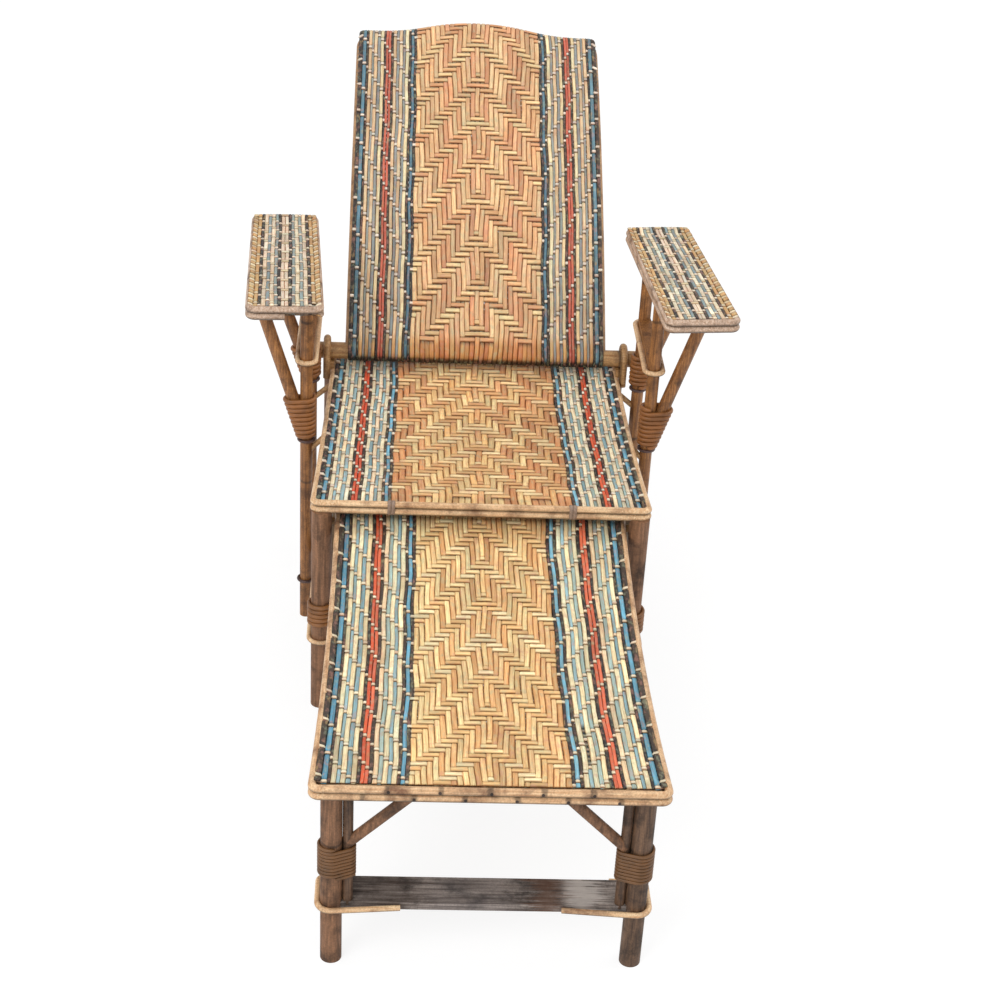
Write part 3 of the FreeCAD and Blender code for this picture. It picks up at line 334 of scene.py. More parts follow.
    # The slope with the painted shadow, on a row's lower side, is the wider one
    wefts = flat_strands(name + "_rows", centre, np.cross(heading, outward), outward, width,
                         np.array([-0.5, -0.38, 0.14, 0.5]), thickness,
                         colour[:, :, None] * shade[..., None, None] * edge, 0.0,
                         centre[..., 0] + chance.random(row_count) * 3)
    return warps, wefts


# A panel has a band of 20 strands at each side and 27 in its middle
band_count, middle_count = 20, 27
off_centre = np.abs(np.arange(middle_count) - middle_count // 2)[None, :]


def panel_columns(band, middle_share):
    """Edges of the strands from -1 to 1: a band, the middle, and the band
    mirrored. band gives the widths from the outer edge in, in millimetres."""
    outer = np.append(0, np.cumsum(band)) / np.sum(band)
    left = -1 + outer * (1 - middle_share)
    middle = np.linspace(-middle_share, middle_share, middle_count + 1)[1:-1]
    return np.concatenate([left, middle, -left[::-1]])


def chevrons(row_numbers, cycle, over, tick_cycle, tick_start):
    """Where a row lies over a lengthwise strand.

    In the middle a row lies over the strands whose distance from the centre,
    taken from the row's number, leaves less than `over` in a cycle. In a band
    it lies over one strand in each tick cycle, one row later per strand
    inward.
    """
    number = row_numbers[:, None]
    middle = ((number - off_centre) % cycle) < over
    band = ((number - np.arange(band_count) - tick_start) % tick_cycle) == 0
    return np.concatenate([band, middle, band[:, ::-1]], 1)


def pushed(row_numbers, cycle, under):
    """How far a lengthwise strand leans inward at each crossing: it runs
    aside while it lies on top, and comes back under the rows."""
    phase = (row_numbers[:, None] - off_centre) % cycle
    going = (under - 1) / 2 - phase
    coming = 0.6 * (phase - (cycle + under - 1) / 2) * under / (cycle - under)
    middle = 0.0007 * np.where(phase < under, going, coming) * np.minimum(off_centre / 2, 1)
    flat = np.zeros((len(row_numbers), band_count))
    return np.concatenate([flat, middle, flat], 1)


# Widths of a band's strands from the outer edge in, and the dye of each: "d"
# near black, "b" blue, "g" grey-blue and "r" red. "c", "k" and "y" are undyed.
band_widths = [3.8, 4.0, 2.0, 3.6, 2.3, 3.6, 3.2, 3.6, 2.2, 2.6, 2.6, 2.6, 3.4, 2.9, 3.6,
               2.6, 3.8, 2.2, 3.0, 2.5]
band_dyes = "dbdcgcgcdrrdcgcgcdbd"
dyes = {"d": ("#39312E", "#322C2C", "#443830"), "b": ("#6FAECB", "#7FBBD4", "#629FBD"),
        "g": ("#97BAC4", "#A4BCB8", "#8CB2BE"), "r": ("#E2603A", "#D95534", "#E87350"),
        "c": ("#F3DFAA", "#EDCB9C", "#F5E8B8"), "k": ("#EFC79C", "#E9BC90", "#F2D2AA"),
        "y": ("#E3B662", "#DCAA55", "#EAC274")}


def strand_colours(band, natural, count, seed, aged):
    """Colour and dye share of every strand: the band, the undyed middle, and
    the band mirrored. Undyed ones take one of the natural colours each. aged
    lists letters, the colour that those have aged towards, and how far."""
    chance = np.random.default_rng(seed)
    left = [dyes[letter][chance.integers(3)] for letter in band]
    right = [dyes[letter][chance.integers(3)] for letter in band]
    middle = [natural[chance.integers(len(natural))] for _ in range(count)]
    colour = np.array([linear(code) for code in left + middle + right[::-1]])
    colour[:, :3] *= chance.normal(1.0, 0.04, (len(colour), 1))
    letters = list(band + "n" * count + band[::-1])
    colour[:, 3] = ~np.isin(letters, list("cnky"))
    for some, towards, share in aged:
        greyed = share * np.isin(letters, list(some))[:, None]
        colour[:, :3] = colour[:, :3] * (1 - greyed) + np.array(linear(towards)[:3]) * greyed
    return colour


def row_places(third, step, low, high):
    """Numbers of a panel's rows, falling, and their places along it between
    low and high. Row number 3 lies at the place given as third."""
    numbers = np.arange(60, -30, -1)
    rows = third - (numbers - 3) * step
    keep = (rows > low) & (rows < high)
    return numbers[keep], rows[keep]


def row_colours(codes, seed, count):
    """One of the colours for each row."""
    return np.array([linear(code)
                     for code in np.random.default_rng(seed).choice(codes, count)])


pivot = np.array([0.0, 0.2298, 0.400])
back_tilt = np.radians(33.2)
back_up = np.array([0.0, np.cos(back_tilt), np.sin(back_tilt)])
back_out = np.array([0.0, -np.sin(back_tilt), np.cos(back_tilt)])
stile_length, bow = 0.644, 0.028
bow_radius = ((stile_length / 2) ** 2 + bow ** 2) / (2 * bow)
crest_fall = np.arcsin(stile_length / 2 / bow_radius)
crest_span, crest_rise, crest_corner = 0.1855, 0.030, 0.025
crest_radius = ((crest_span / 2) ** 2 + (crest_rise / 2) ** 2) / crest_rise
back_half, cane_reach, rod_reach, rod_blend = 0.2160, 0.0136, 0.0159, 0.03
corner_width, bend_from, bend_length = 0.031, 0.48, 0.189


def crest_level(x):
    """Height of the crest cane's axis above the stiles: a rounded corner,
    which the strands fill squarer than the cane under them, then a hollow
    arc and a round one up to the middle."""
    x = np.abs(x)
    corner = crest_corner * np.maximum(1 - ((x - crest_span) / corner_width) ** 6, 0) ** (1 / 6)
    hollow = crest_corner + crest_radius - np.sqrt(
        np.maximum(crest_radius ** 2 - (x - crest_span) ** 2, 0))
    round_top = crest_corner + crest_rise - crest_radius + np.sqrt(
        np.maximum(crest_radius ** 2 - x ** 2, 0))
    return np.where(x > crest_span, corner, np.where(x > crest_span / 2, hollow, round_top))


def eased(share):
    """A smooth step from 0 to 1: three squares of the share less two cubes."""
    share = np.clip(share, 0, 1)
    return share * share * (3 - 2 * share)


def strayed(across, along):
    """How far, in metres sideways, loose strands have strayed: two waves along
    the panel, which fade out towards its sides, up to about 2 mm together."""
    return 0.0011 * (1 - across ** 2) * (np.sin(21 * along + 3.1 * across)
                                         + np.sin(47 * along - 6.3 * across + 1.0))


def back_surface(across, along, height):
    """A place on the back's panel.

    Along the stiles it is a circle beside the bowed stile, above them a slope
    up to the crest cane, then a circle round that cane. Below, it is a circle
    round the rod. Near the top the rows bend to follow the crest.
    """
    x = across * back_half + strayed(across, along)
    level = crest_level(x)
    along = along + (level - crest_corner) * eased((along - bend_from) / bend_length)
    lifted = cane_reach + height + (rod_reach - cane_reach) * eased(1 - along / rod_blend)
    swing = crest_fall * (along / (stile_length / 2) - 1)
    up = stile_length / 2 + (bow_radius + lifted) * np.sin(swing)
    out = bow - bow_radius + (bow_radius + lifted) * np.cos(swing)
    above = along - stile_length
    up_slope = stile_length + above * np.cos(crest_fall) + lifted * np.sin(crest_fall)
    out_slope = -above * np.sin(crest_fall) + lifted * np.cos(crest_fall)
    over = crest_fall + np.maximum(above - level, 0) / cane_reach
    up_wrap = stile_length + level * np.cos(crest_fall) + lifted * np.sin(over)
    out_wrap = -level * np.sin(crest_fall) + lifted * np.cos(over)
    round_rod = crest_fall + np.maximum(-along, 0) / rod_reach
    parts = [along < 0, above < 0, above < level]
    up = np.select(parts, [-lifted * np.sin(round_rod), up, up_slope], up_wrap)
    out = np.select(parts, [lifted * np.cos(round_rod), out, out_slope], out_wrap)
    return (pivot + np.stack([x, 0 * x, 0 * x], -1) + up[..., None] * back_up
            + out[..., None] * back_out)


# Strands rise and sink by 1 mm, are 1.7 mm thick, and stray by up to 0.6 mm
panel_strand = (0.00098, 0.0017, 0.0006)
back_step = 0.01053
back_numbers, back_rows = row_places(0.5257, back_step, 0.016, 0.7)
back_strands, back_crossings = woven(
    "back_panel", back_surface, panel_columns(band_widths, 0.515), back_rows, back_step,
    chevrons(back_numbers, 8, 3, 6, 2), (-0.052, 0.702),
    strand_colours(band_dyes, ("#EABA8B", "#EDC394", "#E4AF84", "#E8BD8E", "#E0A67C", "#EFCB9B"),
                   middle_count, 11, (("g", "#928D8C", 0.75), ("b", "#53636E", 0.6),
                                      ("r", "#B4786C", 0.4), ("c", "#D8C4AC", 0.35))),
    row_colours(["#F3CC98", "#EDBE8A", "#F8DDA8", "#E8B080", "#F4D29C"], 5, len(back_rows)),
    ("#EADFD2", 0.485, 0.70), 0.0090, panel_strand, 21, push=pushed(back_numbers, 8, 3),
    # Painted shadow: the strands go near black where they wrap under the rod at the bottom
    painted_light_and_shade=([-0.05, -0.017, -0.011], [0.03, 0.04, 1.0]),
    browned=([0.0, 0.014, 0.028], [1.0, 0.8, 0.0]))

# The strands' finish. Split rattan cane, its glossy bark side out, some of it
# dyed: fine fibres run along each strand, old varnish gives a soft sheen, and
# the dye has rubbed through to the straw colour in places.
split_cane, tree = bare_finish("split_rattan_strands")
# The tint holds each strand's colour together with its painted shade and painted shadow
tint = add(tree, "ShaderNodeAttribute", attribute_name="tint")
chart = add(tree, "ShaderNodeUVMap", uv_map="along_strand")
place = add(tree, "ShaderNodeTexCoord").outputs["Object"]
# Fibres, 0.3 mm wide in life and drawn 0.8 mm wide so that they show; patches
# of wear 15 to 40 mm long; streaks 2 mm wide; and mottling 10 to 20 mm across
patterns = []
for scale, start, detail, roughness in (
        ((1250, 45, 1), (0, 0, 0), 3.0, 0.6), ((120, 42, 1), (0, 0, 0), 4.0, 0.62),
        ((520, 26, 1), (0, 0, 0), 2.0, 0.5), ((90, 60, 1), (7.3, 2.9, 0), 3.0, 0.6)):
    stretched = add(tree, "ShaderNodeMapping", {"Vector": chart, "Scale": scale, "Location": start})
    patterns.append(add(tree, "ShaderNodeTexNoise", {
        "Vector": stretched, "Scale": 1.0, "Detail": detail,
        "Roughness": roughness}, noise_dimensions="2D"))
fibre, patch, streak, mottle = patterns
fibre_tone = add(tree, "ShaderNodeMapRange", {
    "Value": fibre, "From Min": 0.3, "From Max": 0.7, "To Min": 0.80, "To Max": 1.14})
rubbed = add(tree, "ShaderNodeMapRange", {
    "Value": patch, "From Min": 0.57, "From Max": 0.72, "To Max": 0.62})
rubbed_dye = add(tree, "ShaderNodeMath", {
    0: rubbed, 1: tint.outputs["Alpha"]}, operation="MULTIPLY")
straw = add(tree, "ShaderNodeMix", {
    0: rubbed_dye, 6: tint.outputs["Color"], 7: linear("#B99F70")}, data_type="RGBA")
toned = add(tree, "ShaderNodeVectorMath", {0: straw, "Scale": fibre_tone}, operation="SCALE")
# The streaks run from pinkish to straw yellow, and the mottling shows where a
# strand has gone pink or green with age
streak_share = add(tree, "ShaderNodeMapRange", {
    "Value": streak, "From Min": 0.36, "From Max": 0.64})
streak_tone = add(tree, "ShaderNodeMix", {
    0: streak_share, 6: (0.93, 0.80, 0.72, 1.0), 7: (1.06, 1.10, 1.06, 1.0)}, data_type="RGBA")
streaked = add(tree, "ShaderNodeMix", {
    0: 1.0, 6: toned, 7: streak_tone}, data_type="RGBA", blend_type="MULTIPLY")
for value_from, value_to, code in ((0.56, 0.68, "#C98F80"), (0.44, 0.32, "#A9B394")):
    amount = add(tree, "ShaderNodeMapRange", {
        "Value": mottle, "From Min": value_from, "From Max": value_to, "To Max": 0.32})
    streaked = add(tree, "ShaderNodeMix", {
        0: amount, 6: streaked, 7: linear(code)}, data_type="RGBA")
grime_place = add(tree, "ShaderNodeTexNoise", {
    "Vector": place, "Scale": 22.0, "Detail": 5.0, "Roughness": 0.6})
grime = add(tree, "ShaderNodeMapRange", {
    "Value": grime_place, "From Min": 0.52, "From Max": 0.76, "To Max": 0.35})
grimy = add(tree, "ShaderNodeMix", {
    0: grime, 6: streaked, 7: linear("#B5835A")}, data_type="RGBA", blend_type="MULTIPLY")
gloss = add(tree, "ShaderNodeMapRange", {
    "Value": patch, "From Min": 0.3, "From Max": 0.7, "To Min": 0.44, "To Max": 0.66})
relief = add(tree, "ShaderNodeBump", {"Height": fibre, "Strength": 0.5, "Distance": 0.0003})
shader = add(tree, "ShaderNodeBsdfPrincipled", {
    "Base Color": grimy, "Roughness": gloss, "IOR": 1.5, "Normal": relief})
add(tree, "ShaderNodeOutputMaterial", {"Surface": shader})
for piece in (back_strands, back_crossings):
    piece.data.materials.append(split_cane)
    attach(piece, "backrest")
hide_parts("back_weave")

# Seat: its woven panel, of the same strands. It sags between the front canes
# and the rear board, and the rows lie over three strands and under three.
seat_front, seat_length, seat_half, seat_level = -0.2362, 0.485, 0.2522, 0.3725
seat_taper, seat_sag, rear_dip, seat_step = 0.016, 0.056, 0.003, 0.01163


def rimmed(across, along):
    """Height that the rims give a panel: its two sides lie up over the side
    rims, and the rim cane at its front end holds it down."""
    side_rise, front_dip = 0.0034, 0.004
    return (side_rise * eased((np.abs(across) - 0.962) / 0.022)
            - front_dip * eased((0.0145 - along) / 0.004))


def seat_surface(across, along, height):
    """The seat's panel: a taper in plan and a shallow sag along its length."""
    share = along / seat_length
    x = across * (seat_half - seat_taper * share) + strayed(across, along + 1)
    z = seat_level - seat_sag * share * (1 - share) + height
    z = z + rimmed(across, along) - rear_dip * eased((along - 0.489) / 0.008)
    return np.stack([x, seat_front + along, z], -1)


seat_numbers, seat_rows = row_places(0.2631, seat_step, 0.04, 0.484)
seat_strands, seat_crossings = woven(
    "seat_panel", seat_surface, panel_columns(band_widths, 0.55), seat_rows, seat_step,
    chevrons(seat_numbers, 6, 3, 4, 1), (0.0112, 0.4975),
    strand_colours(band_dyes, ("#EABA7E", "#F1C98C", "#DDA472", "#E6B480", "#D89C6A", "#F4D298"),
                   middle_count, 12, (("c", "#FFF6E2", 0.5),)),
    row_colours(["#F6D49E", "#EEC288", "#FAE0AE", "#E6B47C"], 6, len(seat_rows)),
    ("#F2E8D6", 0.45, 0.80), 0.0098, panel_strand, 22, push=pushed(seat_numbers, 6, 3),
    # Painted light: the seat's strands are painted up to a fifth lighter towards its rear
    painted_light_and_shade=([0.25, 0.42], [1.0, 1.2]))
for piece in (seat_strands, seat_crossings):
    piece.data.materials.append(split_cane)
    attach(piece, "frame")
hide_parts("seat_weave")


# Bindings of dark bark strip that tie the seat's two front canes together, one
# near each end: flat turns side by side, close round both canes.
binding_points, binding_quads = [], []
turn_pitch, turn_half_width, turn_radius, sides = 0.0058, 0.0027, 0.0063, 24
canes_y, canes_z, canes_half_apart = seat_front + 0.0055, 0.366, 0.0055
angle = np.linspace(0, 2 * np.pi, sides, endpoint=False)
for middle_x, turn_count in ((-0.137, 2), (0.138, 2)):
    for number in range(turn_count):
        x = middle_x + (number - (turn_count - 1) / 2) * turn_pitch
        aside = np.where(np.sin(angle) > 0, canes_half_apart, -canes_half_apart)
        outline = np.stack([0 * angle + x, canes_y + turn_radius * np.cos(angle),
                            canes_z + aside + turn_radius * np.sin(angle)], 1)
        edges = np.array([[-turn_half_width, 0, 0], [turn_half_width, 0, 0]])
        ring = outline[None] + edges[:, None]
        inner = ring - (outline - outline.mean(0)) * [0, 0.11, 0.06]
        index = len(binding_points) * 4 * sides + np.arange(4 * sides).reshape(4, sides)
        binding_points.append(np.concatenate([ring, inner]).reshape(-1, 3))
        turned = np.roll(index, -1, axis=1)
        for first, second in ((0, 1), (1, 3), (3, 2), (2, 0)):
            binding_quads.append(np.stack([index[first], index[second], turned[second],
                                           turned[first]], 1))
binding = skin("seat_rim_binding", np.concatenate(binding_points), np.concatenate(binding_quads))
binding_bark, tree = bare_finish("dark_bark_binding")
place = add(tree, "ShaderNodeTexCoord").outputs["Object"]
fibre = add(tree, "ShaderNodeTexNoise", {
    "Vector": place, "Scale": 320.0, "Detail": 4.0, "Roughness": 0.6})
brown = add(tree, "ShaderNodeMix", {
    0: fibre, 6: linear("#5E4A40"), 7: linear("#B89C88")}, data_type="RGBA")
shader = add(tree, "ShaderNodeBsdfPrincipled", {"Base Color": brown, "Roughness": 0.6})
add(tree, "ShaderNodeOutputMaterial", {"Surface": shader})
binding.data.materials.append(binding_bark)
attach(binding, "frame")


# Leg rest: its woven panel, of the same strands, the yellowest of the three.
# One grey-blue strand near the right side has broken away for a short way.
rest_front, rest_length, rest_half, rest_level = -0.8302, 0.6295, 0.2278, 0.3005
rest_climb, rest_sag, rest_taper, rest_waist, rest_step = 0.037, 0.08, 0.0135, 0.016, 0.01042
rest_ahead = 0.594  # how far the rest reaches ahead of the seat's front


def rest_surface(across, along, height):
    """The leg rest's panel: sides that draw in, a slope, and a sag."""
    share = along / rest_length
    bend = share * (1 - share)
    x = (across * (rest_half - rest_taper * share - rest_waist * bend)
         + strayed(across, along + 2))
    z = rest_level + rest_climb * share - rest_sag * bend + height + rimmed(across, along)
    return np.stack([x, rest_front + along, z], -1)


rest_numbers, rest_rows = row_places(rest_ahead - 0.1769, rest_step, 0.016, 0.622)
rest_strands, rest_crossings = woven(
    "rest_panel", rest_surface, panel_columns(band_widths, 0.463), rest_rows, rest_step,
    chevrons(rest_numbers, 8, 3, 6, 4), (0.0112, 0.628),
    strand_colours(band_dyes, ("#F5CF92", "#FADEA4", "#EBBB82", "#F3CF98", "#E7B47A"),
                   middle_count, 13, (("c", "#FFF3D8", 0.3),)),
    row_colours(["#FBE0A8", "#F6D296", "#FDEBBC", "#EEC68A"], 7, len(rest_rows)),
    ("#F0E3C8", 0.537, 0.66), 0.0088, panel_strand, 23, broken=[(51, 0.065, 0.155)],
    push=pushed(rest_numbers, 8, 3))
for piece in (rest_strands, rest_crossings):
    piece.data.materials.append(split_cane)
    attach(piece, "footrest")
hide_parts("rest_weave")

# Arms: each pad is woven above and below, of narrower strands in a tighter
# pattern of ticks. The left pad's front corner towards the seat is broken.
arm_dyes = "yydcgcgdk"
arm_widths = [6.4, 5.2, 4.0, 5.6, 4.4, 5.6, 4.4, 4.0, 5.0]
arm_step, arm_half, arm_narrowing = 0.00905, 0.0535, 0.0136
arm_place, arm_rim_rise = (0.316, seat_front + 0.352), 0.0030


def arm_surface_on(side, middle_z, crown):
    """The surface of one side of a pad: wider at its front end, turned in
    plan and a little crowned."""
    turned = np.radians(4.4 + side * 1.35)

    def surface(across, along, height):
        x = across * (arm_half - arm_narrowing * along) + 0.4 * strayed(across, along)
        z = middle_z + crown * (1 - across ** 2) + height
        over_rim = np.maximum(eased((np.abs(across) - 0.86) / 0.08),
                              eased((along - 0.166) / 0.007))
        z = z + np.sign(crown) * arm_rim_rise * over_rim
        return np.stack([side * arm_place[0] + x * np.cos(turned) - along * np.sin(turned),
                         arm_place[1] + x * np.sin(turned) + along * np.cos(turned), z], -1)

    return surface


edges = np.append(0, np.cumsum(arm_widths)) / np.sum(arm_widths)
arm_columns = np.concatenate([-1 + edges, 1 - edges[-2::-1]])
arm_numbers = np.arange(39)
arm_rows = -0.1675 + arm_numbers * arm_step
ticks = ((arm_numbers[::-1, None] - np.arange(len(arm_widths))) % 4) == 0
ticks[:, 0] = (arm_numbers % 2) == 0
arm_over = np.concatenate([ticks, ticks[:, ::-1]], 1)
frayed = [(strand, -0.18, end) for strand, end in (
    (17, -0.156), (16, -0.160), (15, -0.164), (14, -0.168))]
for side, side_word in ((-1, "left"), (1, "right")):
    made = []
    for word, middle_z, crown in (("top", 0.6112, 0.0010), ("foot", 0.5985, -0.0003)):
        made.extend(woven(
            f"arm_{word}_{side_word}", arm_surface_on(side, middle_z, crown), arm_columns,
            arm_rows, arm_step, arm_over if word == "top" else ~arm_over, (-0.1735, 0.1815),
            strand_colours(arm_dyes, (), 0, 30 + side, (
                ("ck", "#EAE2D6", 0.6), ("y", "#CBA67E", 0.65), ("g", "#84898E", 0.6))),
            row_colours(["#EADCBC", "#E4D2AC", "#F0E6CC"], 8, len(arm_rows)),
            ("#ECE0D0", 0.0, 0.8), 0.0066, (0.0008, 0.0015, 0.0004), 31 + side,
            broken=frayed if side < 0 and word == "top" else ()))
    for piece in made:
        piece.data.materials.append(split_cane)
        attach(piece, "frame")
    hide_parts(f"arm_pad_{side_word}")


# Windings of whole cane round the front legs, round each arm pole and its
# brace, and round each leg of the leg rest and the post beside it.
def belt(turns, first_axis, first_reach, second_axis, second_reach, foot, pitch):
    """Places on a belt that climbs round two upright cores.

    turns counts turns from the foot. In each turn the belt runs straight from
    the first core to the second, round it, straight back and round the first.
    """
    z = foot + pitch * turns
    first, second = first_axis(z), second_axis(z)
    apart = np.linalg.norm((second - first)[:, :2], axis=1)
    along = (second - first) / apart[:, None]
    across = np.stack([-along[:, 1], along[:, 0], 0 * apart], 1)
    lean = np.arccos(np.clip((first_reach - second_reach) / apart, -1, 1))
    straight = np.maximum(apart * np.sin(lean), 1e-7)
    lengths = np.stack([straight, 2 * lean * second_reach, straight,
                        (2 * np.pi - 2 * lean) * first_reach], 1)
    ends = np.cumsum(lengths, axis=1)
    walked = (turns % 1) * ends[:, 3]

    def on_core(centre, reach, angle):
        return centre + (along * np.cos(angle)[:, None]
                         + across * np.sin(angle)[:, None]) * reach

    out_share = (walked / straight)[:, None]
    back_share = ((walked - ends[:, 1]) / straight)[:, None]
    runs = [on_core(first, first_reach, -lean) * (1 - out_share)
            + on_core(second, second_reach, -lean) * out_share,
            on_core(second, second_reach, -lean + (walked - ends[:, 0]) / second_reach),
            on_core(second, second_reach, lean) * (1 - back_share)
            + on_core(first, first_reach, lean) * back_share,
            on_core(first, first_reach, lean + (walked - ends[:, 2]) / first_reach)]
    which = np.select([walked < ends[:, 0], walked < ends[:, 1], walked < ends[:, 2]],
                      [0, 1, 2], 3)
    place = np.stack(runs, 1)[np.arange(len(turns)), which]
    place[:, 2] = z
    return place


def wound_cane(name, first_axis, first_radius, second_axis, second_radius, foot, turn_count,
               pitch, dulled, seed):
    """A round cane, a little flattened against its cores, along a belt. Its
    two ends taper. pitch is the rise of one turn, and dulled what the red,
    green and blue of its finish are multiplied by."""
    chance = np.random.default_rng(seed)
    turns = np.linspace(0, turn_count, int(turn_count * 56) + 1)
    stand_off = 0.424 * pitch
    centre = belt(turns, first_axis, first_radius + stand_off, second_axis,
                  second_radius + stand_off, foot + 0.0035, pitch)
    heading = np.gradient(centre, axis=0)
    heading /= np.linalg.norm(heading, axis=1, keepdims=True)
    outward = np.cross(heading, (0, 0, 1))
    outward /= np.linalg.norm(outward, axis=1, keepdims=True)
    upward = np.cross(outward, heading)
    tuck = eased(np.minimum(turns, turn_count - turns) / 0.05)
    angle = np.linspace(0, 2 * np.pi, 10, endpoint=False)
    quarters = turn_count * 4 + 1
    rough = 1 + 0.04 * np.interp(turns, np.arange(quarters) / 4, chance.normal(0, 1, quarters))
    wide = 0.474 * pitch * (0.6 + 0.4 * tuck) * np.clip(rough, 0.94, 1.04)
    deep = 0.397 * pitch * (0.6 + 0.4 * tuck)
    across = wide[:, None, None] * np.cos(angle)
    up = deep[:, None, None] * np.sin(angle)
    points, quads = carried(centre[:, None], upward[:, None], outward[:, None], across, up)
    tone = np.repeat(np.clip(rough, 0.9, 1.1), len(angle))
    chart = np.stack([np.tile(angle / 10, len(turns)), np.repeat(turns, len(angle))], 1)
    tint = np.stack([tone * shade for shade in dulled] + [np.ones_like(tone)], 1)
    return skin(name, points, quads, tint, chart)


def standing(x, y):
    """The axis of an upright pole."""
    return lambda z: np.stack([0 * z + x, 0 * z + y, z], 1)


def leaning(x, y, slope, start):
    """The axis of a brace that leaves its pole at a height and leans out."""
    return lambda z: np.stack([x + slope * np.maximum(z - start, 0.001), 0 * z + y, z], 1)


def rest_leg(side, inward):
    """The axis of a leg of the leg rest, or of the post beside it. Towards
    its foot it leans forward and a little inward."""
    leg_height = 0.28375

    def axis(z):
        down = 1 - z / leg_height
        return np.stack([side * (0.2053 - 0.002 * down - inward), -0.7932 - 0.014 * down, z], 1)

    return axis


# Round cane of the windings, its bark left on: amber brown fibres with a dull
# shine, and patches of a darker brown where the bark has worn.
winding_cane, tree = bare_finish("whole_cane_windings")
tint = add(tree, "ShaderNodeAttribute", attribute_name="tint")
chart = add(tree, "ShaderNodeUVMap", uv_map="along_strand")
place = add(tree, "ShaderNodeTexCoord").outputs["Object"]
stretched = add(tree, "ShaderNodeMapping", {"Vector": chart, "Scale": (36, 9, 1)})
fibre = add(tree, "ShaderNodeTexNoise", {
    "Vector": stretched, "Scale": 1.0, "Detail": 4.0, "Roughness": 0.6}, noise_dimensions="2D")
stain = add(tree, "ShaderNodeTexNoise", {
    "Vector": place, "Scale": 55.0, "Detail": 4.0, "Roughness": 0.6})
amber = add(tree, "ShaderNodeMix", {
    0: fibre, 6: linear("#673D19"), 7: linear("#AB713B")}, data_type="RGBA")
worn = add(tree, "ShaderNodeMapRange", {
    "Value": stain, "From Min": 0.46, "From Max": 0.68, "To Max": 0.7})
patched = add(tree, "ShaderNodeMix", {0: worn, 6: amber, 7: linear("#63401F")}, data_type="RGBA")
toned = add(tree, "ShaderNodeMix", {
    0: 1.0, 6: patched, 7: tint.outputs["Color"]}, data_type="RGBA", blend_type="MULTIPLY")
relief = add(tree, "ShaderNodeBump", {"Height": fibre, "Strength": 0.4, "Distance": 0.0004})
shader = add(tree, "ShaderNodeBsdfPrincipled", {
    "Base Color": toned, "Roughness": 0.46, "IOR": 1.5, "Normal": relief})
add(tree, "ShaderNodeOutputMaterial", {"Surface": shader})

for side, side_word in ((-1, "left"), (1, "right")):
    wound = [("frame", f"leg_winding_{side_word}",
              (standing(side * 0.24155, -0.2287), 0.0155,
               standing(side * 0.24125, -0.2287), 0.0152, 0.151, 5, 0.0078, (0.95, 0.95, 0.95))),
             ("footrest", f"rest_winding_{side_word}",
              (rest_leg(side, 0), 0.0145, rest_leg(side, 0.0217), 0.007, 0.138, 9, 0.0053,
               (0.60, 0.66, 0.74)))]
    for spot, y, foot, turn_count in (("front", 0.0258, 0.343, 9), ("rear", 0.1948, 0.366, 7)):
        parting = foot + 0.001
        slope = 0.078 / (0.596 - parting)
        radius = 0.010 * np.hypot(1, slope)
        wound.append(("frame", f"arm_winding_{spot}_{side_word}",
                      (standing(side * 0.277, y), radius,
                       leaning(side * 0.277, y, side * slope, parting), radius, foot,
                       turn_count, 0.0078, (1.0, 0.95, 0.9))))
    for number, (body, replaced, axes) in enumerate(wound):
        piece = wound_cane(f"{replaced}_cane", *axes, 40 + number)
        piece.data.materials.append(winding_cane)
        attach(piece, body)
        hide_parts(replaced)


